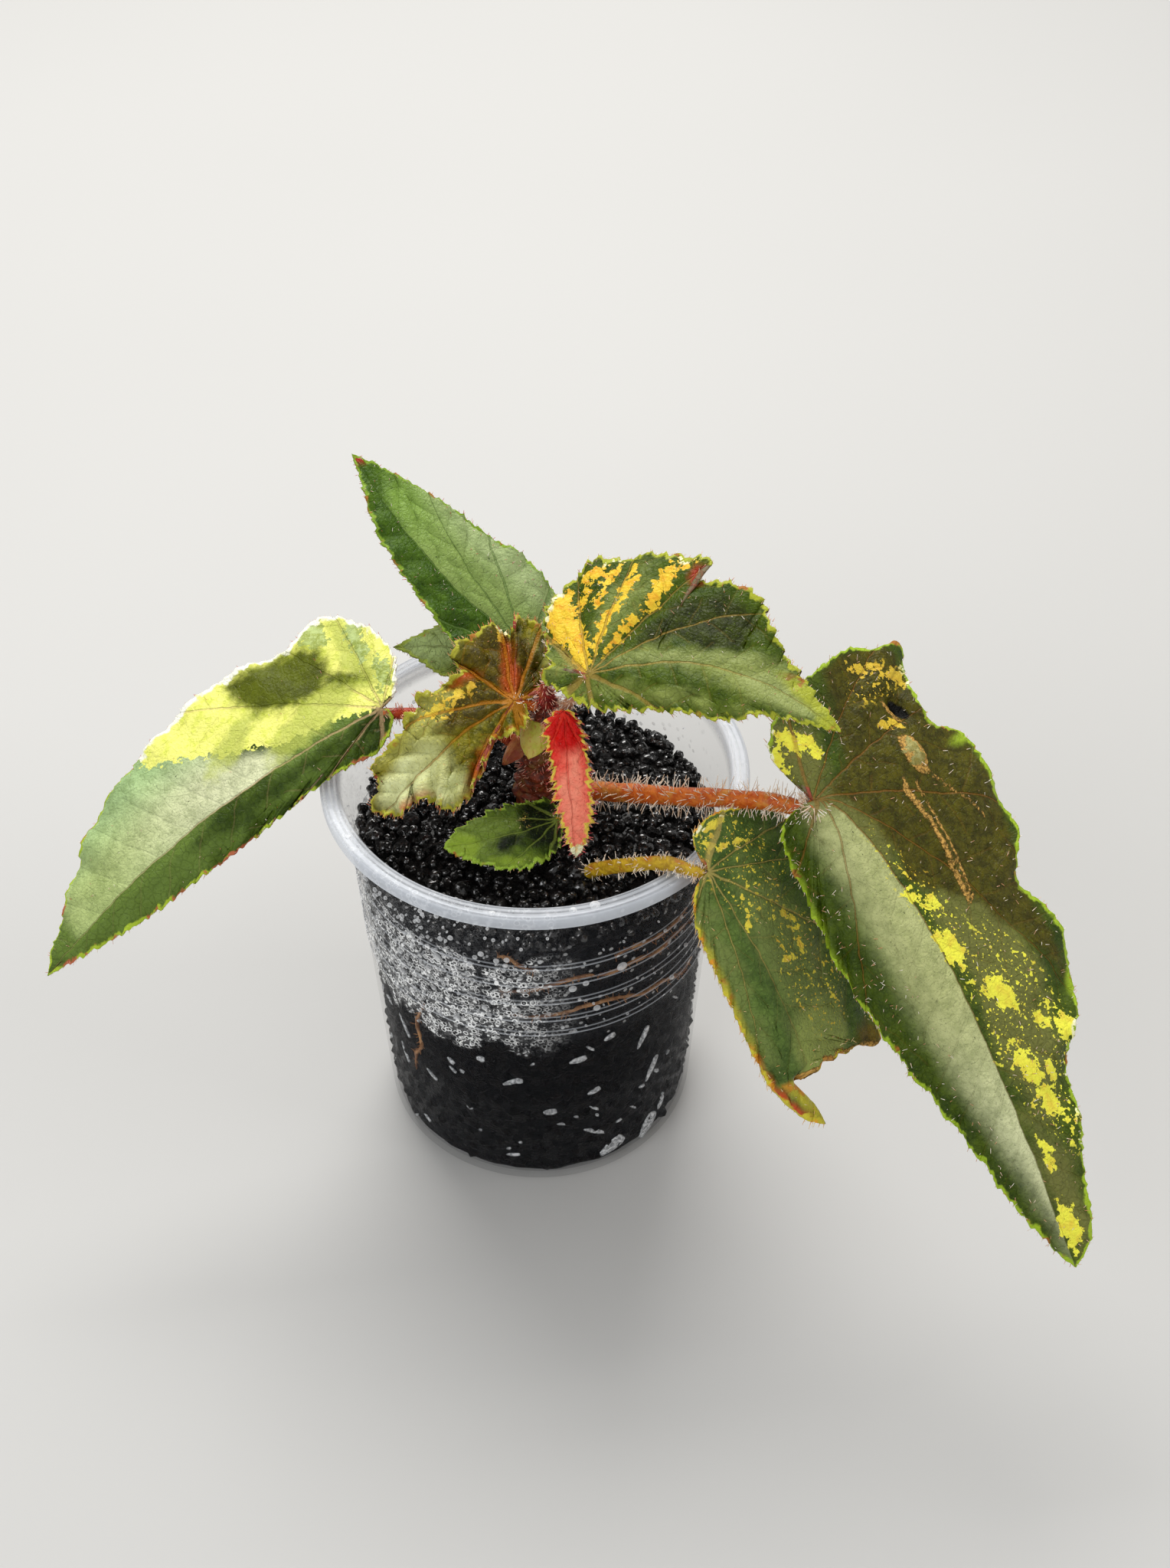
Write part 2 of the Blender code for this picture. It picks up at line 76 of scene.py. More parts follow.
# size is the size of the spots, in the units of the place
def cloud(tree, place, size, detail=3.0, rough=0.55, warp=0.0):
    inputs = {"Vector": place, "Scale": 1 / size, "Detail": detail, "Roughness": rough, "Distortion": warp}
    return addNode(tree, "TexNoise", inputs).outputs["Fac"]


def cells(tree, place, size, feature="F1"):
    return addNode(tree, "TexVoronoi", {"Vector": place, "Scale": 1 / size}, feature=feature).outputs["Distance"]


def addBump(tree, shader, height, depth, strength=1.0):
    bump = addNode(tree, "Bump", {"Height": height, "Distance": depth * mm, "Strength": strength})
    tree.links.new(bump.outputs[0], shader.inputs["Normal"])


def newMaterial(name, **fixed):
    material = bpy.data.materials.new(name)
    material.use_nodes = True
    tree = material.node_tree
    tree.nodes.clear()
    shader = addNode(tree, "BsdfPrincipled")
    for key, value in fixed.items():
        shader.inputs[key.replace("_", " ")].default_value = value
    output = addNode(tree, "OutputMaterial")
    tree.links.new(shader.outputs[0], output.inputs[0])
    return material, tree, shader


# object coordinates in millimetres
def objectPlace(tree):
    place = addNode(tree, "TexCoord").outputs["Object"]
    return addNode(tree, "Mapping", {"Vector": place, "Scale": (1000, 1000, 1000)}).outputs[0]


# mesh helpers

def finishPiece(name, mesh, materials, nodes=(), smoothAngle=None):
    for material in materials:
        mesh.materials.append(material)
    mesh.shade_smooth()
    if smoothAngle:
        mesh.set_sharp_from_angle(angle=math.radians(smoothAngle))
    piece = bpy.data.objects.new(name, mesh)
    bpy.context.scene.collection.objects.link(piece)
    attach(piece, "root")
    if nodes:
        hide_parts(*nodes)
    return piece


# a smooth path through the given points, of any number of values each
def smoothPath(points, steps):
    points = np.array(points, float)
    before = np.vstack([points[:1], points[:-1]])
    after = np.vstack([points[1:], points[-1:]])
    slopes = (after - before) / 2
    path = []
    for index in range(len(points) - 1):
        for step in range(steps):
            t = step / steps
            path.append(
                points[index] * (2 * t**3 - 3 * t**2 + 1) + slopes[index] * (t**3 - 2 * t**2 + t)
                + points[index + 1] * (3 * t**2 - 2 * t**3) + slopes[index + 1] * (t**3 - t**2)
            )
    path.append(points[-1])
    return np.array(path)


# many copies of one small shape, put together a few dozen at a time
def scatter(template, places):
    whole = bmesh.new()
    chunkMesh = bpy.data.meshes.new("chunk")
    for first in range(0, len(places), 40):
        chunk = bmesh.new()
        for place in places[first:first + 40]:
            known = len(chunk.verts)
            chunk.from_mesh(template)
            chunk.verts.ensure_lookup_table()
            bmesh.ops.transform(chunk, matrix=place, verts=chunk.verts[known:])
        chunk.to_mesh(chunkMesh)
        chunk.free()
        whole.from_mesh(chunkMesh)
    bpy.data.meshes.remove(chunkMesh)
    mesh = bpy.data.meshes.new("scattered")
    whole.to_mesh(mesh)
    whole.free()
    return mesh


# places a shape made about the origin, its Z along the direction
def standing(place, direction, width, height, turn=0.0):
    facing = Vector(direction).to_track_quat("Z", "Y").to_matrix().to_4x4()
    size = Matrix.Diagonal((width * mm, width * mm, height * mm, 1))
    return Matrix.Translation(Vector(place) * mm) @ facing @ Matrix.Rotation(turn, 4, "Z") @ size


# a tapering hair, 1 long and 1 thick at its foot, that bends over
def hairTemplate(bend, point):
    shape = bmesh.new()
    bmesh.ops.create_cone(shape, cap_ends=True, segments=3, radius1=0.5, radius2=point, depth=1.0)
    long = [edge for edge in shape.edges if abs(edge.verts[0].co.z - edge.verts[1].co.z) > 0.5]
    bmesh.ops.subdivide_edges(shape, edges=long, cuts=3, use_grid_fill=True)
    for vert in shape.verts:
        vert.co.z += 0.5
        vert.co.x += bend * vert.co.z**2 * 4 / (1 + vert.co.z * 2)
        vert.co.z -= 0.3 * bend * vert.co.z**3
    mesh = bpy.data.meshes.new("hair")
    shape.to_mesh(mesh)
    shape.free()
    return mesh


# cup

cup = {
    "height": 96.0, "rimRadius": 45.0, "rimDepth": 2.8, "mouthRadius": 41.3,
    "wallTop": 40.3, "wallFoot": 34.8, "wall": 0.8, "floor": 1.4, "corner": 2.6,
    "beads": (75.5, 70.1, 64.3, 58.7, 54.0), "beadProud": 0.35, "beadHalf": 0.7, "steps": 150, "grooves": (41.9, 43.0, 44.3),
}


def wallRadius(height):
    return cup["wallFoot"] + (cup["wallTop"] - cup["wallFoot"]) * height / cup["height"]


def innerRadius(height):
    return wallRadius(height) - cup["wall"]


# points on a quarter turn between two places, bulging towards the corner
def rounded(start, corner, end, steps=5):
    path = []
    for step in range(steps + 1):
        t = step / steps
        path.append(tuple(a * (1 - t)**2 + 2 * b * t * (1 - t) + c * t**2 for a, b, c in zip(start, corner, end)))
    return path


def cupProfile():
    top, corner, floor = cup["height"], cup["corner"], cup["floor"]
    rim, mouth = cup["rimRadius"], cup["mouthRadius"]
    skirt = top - cup["rimDepth"]
    foot = innerRadius(0)
    profile = [(0, floor), (12, floor), (24, floor)]
    profile += rounded((foot - corner, floor), (foot, floor), (innerRadius(corner + floor), corner + floor))
    profile += [(innerRadius(height), height) for height in range(10, 90, 8)]
    profile += [(innerRadius(top - 5), top - 5), (mouth - 0.75, top - 2.4)]
    profile += rounded((mouth - 0.5, top - 1.2), (mouth - 0.3, top), (mouth + 1.0, top))
    profile += rounded((rim - 1.1, top), (rim, top), (rim, top - 1.1))
    profile += [(rim, skirt + 0.4)]
    profile += rounded((rim, skirt + 0.2), (rim - 0.2, skirt), (rim - 0.5, skirt), 3)
    profile += rounded((rim - 0.7, skirt), (rim - 0.95, skirt), (rim - 0.95, skirt + 0.3), 3)
    profile += rounded((rim - 1.1, top - 1.9), (rim - 1.1, top - 1.4), (rim - 1.6, top - 1.4), 3)
    profile += rounded((mouth + 1.6, top - 1.5), (mouth + 0.5, top - 1.6), (mouth + 0.3, top - 2.6), 4)
    profile += [(wallRadius(top - 5), top - 5), (wallRadius(84), 84), (wallRadius(78), 78)]
    for height in cup["beads"]:
        for step in range(-4, 5):
            lift = math.cos(step / 4 * math.pi / 2)**2 * cup["beadProud"]
            place = height - step / 4 * cup["beadHalf"]
            profile.append((wallRadius(place) + lift, place))
    profile += [(wallRadius(height), height) for height in range(48, 4, -6)]
    profile += rounded((wallRadius(corner), corner), (wallRadius(0), 0), (wallRadius(0) - corner, 0))
    return profile + [(24, 0), (12, 0), (0, 0)]


# clear, with a milky rim, pale rings and a whitish mist where water has condensed
def cupPlastic():
    material, tree, shader = newMaterial("clearCupPlastic", IOR=1.5, Specular_IOR_Level=0.16)
    place = objectPlace(tree)
    split = addNode(tree, "SeparateXYZ", {0: place})
    x, y, z = split.outputs
    radius = calc(tree, "SQRT", calc(tree, "ADD", calc(tree, "POWER", x, 2.0), calc(tree, "POWER", y, 2.0)))
    rim = fade(tree, radius, 40.4, 41.6)
    rings = 0.0
    for height in cup["beads"]:
        away = calc(tree, "ABSOLUTE", calc(tree, "SUBTRACT", z, height))
        rings = calc(tree, "ADD", rings, fade(tree, away, 0.14, 0.4, 1.0, 0.0))
    soft = cloud(tree, place, 9.0, 4.0, 0.6)
    ragged = calc(tree, "MULTIPLY_ADD", calc(tree, "SUBTRACT", soft, 0.5), 26.0, z)
    band = calc(tree, "MULTIPLY", fade(tree, z, 50.0, 51.0), fade(tree, z, 78.0, 86.0, 1.0, 0.2))
    misted = calc(tree, "MULTIPLY", fade(tree, ragged, 47.0, 50.0), fade(tree, ragged, 74.0, 79.0, 1.0, 0.12))
    frontLeft = fade(tree, calc(tree, "SUBTRACT", calc(tree, "MULTIPLY", x, -1.0), calc(tree, "MULTIPLY", y, 0.75)), 14.0, 40.0)
    cell = cells(tree, place, 1.35)
    bubbles = calc(tree, "MULTIPLY", fade(tree, cell, 0.30, 0.34), fade(tree, cell, 0.46, 0.54, 1.0, 0.15))
    bubbles = calc(tree, "MAXIMUM", bubbles, fade(tree, cell, 0.06, 0.11, 1.0, 0.0))
    sparse = fade(tree, cells(tree, place, 3.1), 0.13, 0.19, 0.8, 0.0)
    mist = calc(tree, "MULTIPLY", calc(tree, "MULTIPLY", misted, frontLeft), calc(tree, "MULTIPLY_ADD", bubbles, 0.94, 0.04))
    mist = calc(tree, "MULTIPLY", mist, fade(tree, cloud(tree, place, 3.0, 4.0), 0.40, 0.54, 0.12, 1.0))
    mist = calc(tree, "MAXIMUM", mist, calc(tree, "MULTIPLY", calc(tree, "MULTIPLY", band, sparse), 0.5))
    edge = addNode(tree, "LayerWeight", {"Blend": 0.2}).outputs["Facing"]
    alpha = calc(tree, "MULTIPLY_ADD", edge, 0.22, 0.015)
    alpha = calc(tree, "MULTIPLY_ADD", band, 0.04, alpha)
    alpha = calc(tree, "MULTIPLY_ADD", rings, 0.3, alpha)
    alpha = calc(tree, "MULTIPLY_ADD", mist, 0.95, alpha)
    grooves = 0.0
    for groove in cup["grooves"]:
        away = calc(tree, "ABSOLUTE", calc(tree, "SUBTRACT", radius, groove))
        grooves = calc(tree, "ADD", grooves, fade(tree, away, 0.12, 0.36, 1.0, 0.0))
    solid = calc(tree, "MULTIPLY_ADD", grooves, -0.22, fade(tree, soft, 0.3, 0.7, 0.44, 0.58))
    alpha = calc(tree, "MULTIPLY_ADD", rim, solid, alpha)
    alpha = calc(tree, "MINIMUM", alpha, 0.94)
    tree.links.new(alpha, shader.inputs["Alpha"])
    milky = addNode(tree, "Clamp", {0: calc(tree, "MULTIPLY_ADD", rings, 0.9, rim)}).outputs[0]
    colour = blendColour(tree, milky, (0.05, 0.054, 0.065), (0.70, 0.74, 0.80))
    colour = blendColour(tree, addNode(tree, "Clamp", {0: calc(tree, "MULTIPLY", mist, 1.6)}).outputs[0], colour, (0.97, 0.98, 0.98))
    tree.links.new(colour, shader.inputs["Base Color"])
    tree.links.new(fade(tree, mist, 0.0, 0.7, 0.12, 0.4), shader.inputs["Roughness"])
    grain = calc(tree, "ADD", calc(tree, "MULTIPLY", cloud(tree, place, 22.0), 2.0), calc(tree, "MULTIPLY", mist, 0.6))
    addBump(tree, shader, grain, 0.3)
    return material


def makeCup():
    shape = bmesh.new()
    line = [shape.verts.new((radius * mm, 0, height * mm)) for radius, height in cupProfile()]
    edges = [shape.edges.new(pair) for pair in zip(line, line[1:])]
    bmesh.ops.spin(shape, geom=line + edges, cent=(0, 0, 0), axis=(0, 0, 1), angle=math.tau,
                   steps=cup["steps"], use_merge=True)
    bmesh.ops.remove_doubles(shape, verts=shape.verts, dist=0.00001)
    bmesh.ops.recalc_face_normals(shape, faces=shape.faces)
    mesh = bpy.data.meshes.new("cup")
    shape.to_mesh(mesh)
    shape.free()
    return finishPiece("clear_cup", mesh, [cupPlastic()], ["cup"], 50)


# black clay granules

soil = {"topCount": 760, "wallCount": 1150, "small": 1.15, "large": 2.6, "seed": 11}


def soilHeight(radius):
    return float(np.interp(radius, (0, 16, 29, 36, 38.5), (84.0, 83.8, 82.4, 80.7, 79.6)))


def wetClay(name, glints, gloss, grey=1.0):
    material, tree, shader = newMaterial(name, Specular_IOR_Level=gloss, Coat_Roughness=0.06, Coat_IOR=1.8)
    place = objectPlace(tree)
    lumps = cloud(tree, place, 2.6, 4.0, 0.65)
    grit = cloud(tree, place, 0.5, 3.0, 0.7)
    colour = blendColour(tree, fade(tree, lumps, 0.42, 0.68), (0.002, 0.0018, 0.0016), (0.009, 0.007, 0.006))
    colour = blendColour(tree, fade(tree, grit, 0.66, 0.76), colour, tuple(grey * c for c in (0.05, 0.042, 0.036)))
    tree.links.new(colour, shader.inputs["Base Color"])
    tree.links.new(fade(tree, lumps, 0.35, 0.7, 0.1, 0.5), shader.inputs["Roughness"])
    tree.links.new(fade(tree, cloud(tree, place, 1.1, 2.0), 0.47, 0.56, 0.0, glints), shader.inputs["Coat Weight"])
    height = calc(tree, "ADD", grit, calc(tree, "MULTIPLY", cells(tree, place, 0.9), 0.9))
    addBump(tree, shader, height, 0.9)
    return material


def lumpTemplate(seed):
    shape = bmesh.new()
    bmesh.ops.create_icosphere(shape, subdivisions=2, radius=1.0)
    for vert in shape.verts:
        bumpy = noise.noise(vert.co * 1.2 + Vector((seed * 3.7, 0, seed))) + 0.5 * noise.noise(vert.co * 2.6 + Vector((0, seed * 2.3, 4)))
        vert.co = vert.co * (1 + 0.34 * bumpy)
        vert.co.y *= 0.86
    mesh = bpy.data.meshes.new("lump")
    shape.to_mesh(mesh)
    shape.free()
    return mesh


def makeGranules():
    dice = random.Random(soil["seed"])
    lumps = [lumpTemplate(seed) for seed in range(7)]
    groups = {"top_granules": [[] for lump in lumps], "wall_granules": [[] for lump in lumps]}

    def lay(group, place, size):
        turn = Matrix.Rotation(dice.uniform(0, 6), 4, Vector((dice.random(), dice.random(), dice.random() + 0.1)))
        matrix = Matrix.Translation(Vector(place) * mm) @ turn @ Matrix.Scale(size * mm, 4)
        dice.choice(groups[group]).append(matrix)

    kept = []
    tries = 0
    while len(kept) < soil["topCount"] and tries < 40000:
        tries += 1
        radius = 37.6 * math.sqrt(dice.random())
        angle = dice.uniform(0, math.tau)
        x, y = radius * math.cos(angle), radius * math.sin(angle)
        size = soil["small"] + (soil["large"] - soil["small"]) * dice.random()**1.6
        layer = 0 if tries < 16000 else 1
        size *= 1 - 0.3 * layer
        if math.hypot(x - 0.2, y - 1.8) < 4.6 + size or radius + size > 38.7:
            continue
        if any(level == layer and math.hypot(x - a, y - b) < 0.76 * (size + c) for a, b, c, level in kept):
            continue
        kept.append((x, y, size, layer))
        lift = -0.15 * size + dice.uniform(-0.5, 0.5) if layer == 0 else 0.15 * size
        lay("top_granules", (x, y, soilHeight(radius) + lift), size)
    for index in range(soil["wallCount"]):
        height = 3.6 + 74.5 * (index + 0.5) / soil["wallCount"] + dice.uniform(-0.8, 0.8)
        angle = index * 2.39996 + dice.uniform(-0.03, 0.03)
        size = dice.uniform(1.5, 2.35)
        radius = innerRadius(height) - 0.08 - size * 0.98
        if height < 26:
            radius = innerRadius(height) - 0.06 - size * 0.9
        lay("wall_granules", (radius * math.cos(angle), radius * math.sin(angle), height), size)
    for index in range(300):
        radius = 38.0 * math.sqrt(dice.random())
        angle = dice.uniform(0, math.tau)
        x, y = radius * math.cos(angle), radius * math.sin(angle)
        if math.hypot(x - 0.2, y - 1.8) > 5.2:
            lay("top_granules", (x, y, soilHeight(radius) + dice.uniform(1.0, 1.9)), dice.uniform(0.35, 0.8))
    clay = {"top_granules": wetClay("wetBlackClay", 1.0, 0.15), "wall_granules": wetClay("wetWallClay", 0.06, 0.03, 0.25)}
    for name, parts in groups.items():
        whole = bmesh.new()
        for lump, places in zip(lumps, parts):
            whole.from_mesh(scatter(lump, places))
        mesh = bpy.data.meshes.new(name)
        whole.to_mesh(mesh)
        whole.free()
        finishPiece(name, mesh, [clay[name]])
    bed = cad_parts["substrate"]
    bed.data.materials.clear()
    bed.data.materials.append(wetClay("wetClayBed", 0.1, 0.1))
    makeFilm()
    makeFlakes()


# the dark wet film that fills the gaps against the wall
def makeFilm():
    shape = bmesh.new()
    levels = [(30.0, 1.7), (32.6, 1.7), (33.3, 3.0)] + [(innerRadius(height) - 1.0, height) for height in range(5, 78, 3)] + [(36.5, 77.5)]
    line = [shape.verts.new((radius * mm, 0, height * mm)) for radius, height in levels]
    edges = [shape.edges.new(pair) for pair in zip(line, line[1:])]
    bmesh.ops.spin(shape, geom=line + edges, cent=(0, 0, 0), axis=(0, 0, 1), angle=math.tau, steps=160, use_merge=True)
    bmesh.ops.remove_doubles(shape, verts=shape.verts, dist=0.00001)
    for vert in shape.verts:
        vert.co.xy *= 1 + 0.016 * noise.noise(vert.co * 260)
    bmesh.ops.recalc_face_normals(shape, faces=shape.faces)
    mesh = bpy.data.meshes.new("film")
    shape.to_mesh(mesh)
    shape.free()
    finishPiece("wet_film", mesh, [wetClay("wetFilm", 0.05, 0.03, 0.2)])


# pale flecks between the wet clay and the wall, partly trapped air and partly painted glints: (angle, height, half
# length, half width, slant)
flakes = {
    "seed": 21, "small": 70,
    "placed": [
        (-50, 42, 3.6, 0.8, 62), (-44, 28, 4.0, 0.9, 60), (-64, 47.6, 1.6, 0.8, 20), (-75, 42.5, 2.2, 0.9, 10), (-69, 30, 1.8, 0.8, 20),
        (-85, 25, 1.7, 1.0, 0), (-98, 35.8, 2.6, 0.7, 30), (-121, 37, 1.2, 0.7, -40), (-131, 27.4, 2.0, 0.5, -30), (-144, 37, 3.4, 0.5, -50),
        (-147, 26, 3.0, 0.5, -55), (-68, 14.6, 3.2, 0.7, -35), (-60, 6.8, 3.8, 2.0, 25), (-43, 6.6, 4.0, 2.1, 50), (-36, 10.5, 2.2, 1.0, 65),
        (-99, 8.4, 1.8, 0.5, 10), (-115, 22.6, 0.9, 0.7, 0), (-109, 41.8, 1.1, 0.9, 0), (-96, 36.2, 1.2, 0.8, 0), (-138, 8, 1.6, 0.5, -30),
    ],
}


def makeFlakes():
    material, tree, shader = newMaterial("airPocketAndGlint", Roughness=0.25)
    place = objectPlace(tree)
    speck = cloud(tree, place, 0.7, 3.0, 0.6)
    # pale grey to white: partly trapped air, partly painted glints
    tree.links.new(blendColour(tree, fade(tree, speck, 0.36, 0.66), (0.22, 0.23, 0.24), (0.80, 0.82, 0.84)), shader.inputs["Base Color"])
    addBump(tree, shader, speck, 0.2)
    dice = random.Random(flakes["seed"])
    shape = bmesh.new()
    bmesh.ops.create_uvsphere(shape, u_segments=10, v_segments=6, radius=1.0)
    for vert in shape.verts:
        vert.co.xy *= 1 + 0.5 * noise.noise(vert.co * 1.7)
    blob = bpy.data.meshes.new("blob")
    shape.to_mesh(blob)
    shape.free()
    spots = list(flakes["placed"])
    for index in range(flakes["small"]):
        spots.append((dice.uniform(-180, 180), dice.uniform(3, 48), dice.uniform(0.4, 1.7), dice.uniform(0.25, 0.5), dice.uniform(-60, 60)))
    places = []
    for angle, height, halfLong, halfWide, slant in spots:
        turn = Matrix.Rotation(math.radians(angle + 90), 4, "Z") @ Matrix.Rotation(math.radians(-slant), 4, "Y")
        radius = innerRadius(height) - 0.32
        spot = Vector((math.cos(math.radians(angle)), math.sin(math.radians(angle)), 0)) * radius + Vector((0, 0, height))
        places.append(Matrix.Translation(spot * mm) @ turn @ Matrix.Diagonal((halfLong * mm, 0.3 * mm, halfWide * mm, 1)))
    finishPiece("air_pockets_and_glints", scatter(blob, places), [material])


# water drops on the wall and the rim

drops = {"seed": 5, "mist": 420, "large": [(-62, 71, 1.2), (-78, 68, 0.9), (-121, 73, 1.0), (-96, 62, 0.9), (-70, 60, 0.8)],
         "rim": [(-73, 1.1), (-79, 0.8), (-100, 0.7), (-33, 0.9), (20, 0.8), (62, 0.7), (118, 0.9), (171, 0.8), (-150, 0.7)]}


def waterDrop():
    material, tree, shader = newMaterial("waterDrop", Roughness=0.04, IOR=1.33)
    place = objectPlace(tree)
    edge = addNode(tree, "LayerWeight", {"Blend": 0.35}).outputs["Facing"]
    speck = cloud(tree, place, 0.8)
    alpha = calc(tree, "ADD", fade(tree, speck, 0.35, 0.7, 0.16, 0.34), calc(tree, "MULTIPLY", edge, 0.65))
    tree.links.new(alpha, shader.inputs["Alpha"])
    tree.links.new(blendColour(tree, speck, (0.9, 0.93, 0.96), (0.98, 0.99, 1.0)), shader.inputs["Base Color"])
    addBump(tree, shader, speck, 0.05)
    return material


def makeDrops():
    dice = random.Random(drops["seed"])
    shape = bmesh.new()
    bmesh.ops.create_icosphere(shape, subdivisions=2, radius=1.0)
    dome = bpy.data.meshes.new("dome")
    shape.to_mesh(dome)
    shape.free()
    places = []

    def onWall(angle, height, size):
        turn = math.radians(angle)
        outward = Vector((math.cos(turn), math.sin(turn), -0.057))
        radius = wallRadius(height) - 0.28
        places.append(standing((radius * math.cos(turn), radius * math.sin(turn), height), outward, size,
                               min(0.5, 0.28 + 0.2 * size)))

    for index in range(drops["mist"]):
        near = dice.random() < 0.72
        angle = dice.gauss(-128, 20) if near else dice.uniform(-180, 180)
        height = dice.uniform(53, 90) if near else dice.uniform(50, 92)
        onWall(angle, height, 0.22 + 0.5 * dice.random()**3)
    for angle, height, size in drops["large"]:
        onWall(angle, height, size)
    for angle, size in drops["rim"]:
        turn = math.radians(angle)
        radius = 43.2 + dice.uniform(-0.9, 0.9)
        places.append(standing((radius * math.cos(turn), radius * math.sin(turn), 95.95), (0, 0, 1), size, size * 0.5))
    finishPiece("water_drops", scatter(dome, places), [waterDrop()])


# leaf surfaces: the same sheet as the CAD blades, in millimetres

def ribLine(leaf):
    joint, tip, bow = (np.array(leaf[key], float) for key in ("joint", "tip", "bow"))
    t = np.linspace(0, 1, 121)[:, None]
    near = joint + (tip - joint) / 3 + bow * 4 / 3
    far = joint + (tip - joint) * 2 / 3 + bow * 4 / 3
    places = joint * (1 - t)**3 + 3 * near * t * (1 - t)**2 + 3 * far * t * t * (1 - t) + tip * t**3
    steps = np.linalg.norm(np.diff(places, axis=0), axis=1)
    return places, np.concatenate([[0], np.cumsum(steps)])


def unit(rows):
    return rows / np.linalg.norm(rows, axis=-1, keepdims=True)


# places and upward normals of flattened points: along the midrib from the joint, and out to its left
def sheetPlace(leaf, along, out):
    along, out = np.asarray(along, float), np.asarray(out, float)
    places, distances = ribLine(leaf)
    slopes = np.gradient(places, distances, axis=0)
    length = distances[-1]
    held = np.clip(along, 0, length)
    centre = np.stack([np.interp(held, distances, places[:, k]) for k in range(3)], -1)
    forward = unit(np.stack([np.interp(held, distances, slopes[:, k]) for k in range(3)], -1))
    centre = centre + forward * (along - held)[..., None]
    share = (held / length)[..., None]
    up = np.array(leaf["upJoint"]) * (1 - share) + np.array(leaf["upTip"]) * share
    up = unit(up - forward * (up * forward).sum(-1, keepdims=True))
    left = np.cross(up, forward)
    slope = np.where(out > 0, leaf["leftFold"][0], leaf["rightFold"][0])
    curl = np.where(out > 0, leaf["leftFold"][1] or 1e-4, leaf["rightFold"][1] or 1e-4)
    reach = np.abs(out)
    tilt = slope + curl * reach
    sideways = (np.sin(tilt) - np.sin(slope)) / curl
    rise = (np.cos(slope) - np.cos(tilt)) / curl
    side = np.where(out > 0, 1.0, -1.0)
    place = centre + left * (side * sideways)[..., None] + up * rise[..., None]
    normal = up * np.cos(tilt)[..., None] - left * (side * np.sin(tilt))[..., None]
    return place, normal


# the smooth margin of one side with its teeth, as (row share, along, out)
def margin(leaf, side, length):
    points = leaf["left" if side > 0 else "right"] + [(length, 0.0)]
    path = smoothPath(points, 14)
    steps = np.linalg.norm(np.diff(path, axis=0), axis=1)
    arc = np.concatenate([[0], np.cumsum(steps)])
    fine = np.linspace(0, arc[-1], 1600)
    along, out = np.interp(fine, arc, path[:, 0]), np.interp(fine, arc, path[:, 1])
    ahead = unit(np.stack([np.gradient(along), np.gradient(out)], -1) + 1e-9)
    outward = np.stack([-ahead[:, 1], ahead[:, 0]], -1) * side
    pitch, depth = leaf["teeth"]
    wobble = np.interp(fine, np.arange(0, arc[-1] + 9, 2.3),
                       [noise.noise(Vector((k * 1.7, side * 3.1, leaf["seed"]))) for k in range(len(np.arange(0, arc[-1] + 9, 2.3)))])
    phase = fine / pitch + wobble * 0.9
    tooth = (phase % 1.0)**1.4 * depth * (1 + 0.8 * wobble)
    phase = fine / (pitch * 0.37) + wobble * 2
    tooth += (phase % 1.0) * depth * 0.3
    held = np.clip(np.minimum(fine, arc[-1] - fine) / (2 * pitch), 0, 1)
    tooth = (tooth - 0.4 * depth) * held
    return fine / arc[-1], along + outward[:, 0] * tooth, out + outward[:, 1] * tooth


# how far inside the nearest patch a point lies, in millimetres: a patch is an oval
# (along, out, half length, half width, turn in degrees) or an outline of points
def insideOf(patches, along, out):
    best = np.full(along.shape, -9.0)
    for patch in patches:
        if isinstance(patch, tuple):
            turn = math.radians(patch[4])
            x = (along - patch[0]) * math.cos(turn) + (out - patch[1]) * math.sin(turn)
            y = (out - patch[1]) * math.cos(turn) - (along - patch[0]) * math.sin(turn)
            reach = (1 - np.hypot(x / patch[2], y / patch[3])) * min(patch[2], patch[3])
        else:
            away = np.full(along.shape, 99.0)
            inside = np.zeros(along.shape, bool)
            for (ax, ay), (bx, by) in zip(patch, patch[1:] + patch[:1]):
                t = np.clip(((along - ax) * (bx - ax) + (out - ay) * (by - ay)) / ((bx - ax)**2 + (by - ay)**2), 0, 1)
                away = np.minimum(away, np.hypot(along - ax - t * (bx - ax), out - ay - t * (by - ay)))
                crosses = (ay > out) != (by > out)
                with np.errstate(divide="ignore", invalid="ignore"):
                    inside ^= crosses & (along < (bx - ax) * (out - ay) / (by - ay) + ax)
            reach = np.where(inside, away, -away)
        best = np.maximum(best, reach)
    return np.clip(best, -9, 9)


# distances in millimetres to the nearest main vein and to the nearest side vein
def veinDistances(leaf, length, along, out):
    shift = leaf["ribShift"] * np.sin(math.pi * np.clip(along / length, 0, 1)**leaf.get("ribPeak", 1.0))
    out = out - shift
    radius = np.hypot(along, out)
    angle = np.degrees(np.arctan2(out, along)) / (1 - leaf["veinBend"] * np.clip(radius / length, 0, 1))
    veins = [-400.0, *sorted(leaf["veins"]), 400.0]
    index = np.interp(angle, veins, range(len(veins)))
    off = index - np.round(index)
    main = np.abs(off) * math.radians(leaf["veinGap"]) * radius
    phase = (radius - main * 0.75) / leaf["sideStep"] + np.where(off > 0, 0.5, 0.0)
    side = np.abs(phase % 1.0 - 0.5) * leaf["sideStep"] * 0.8
    return main, side, radius


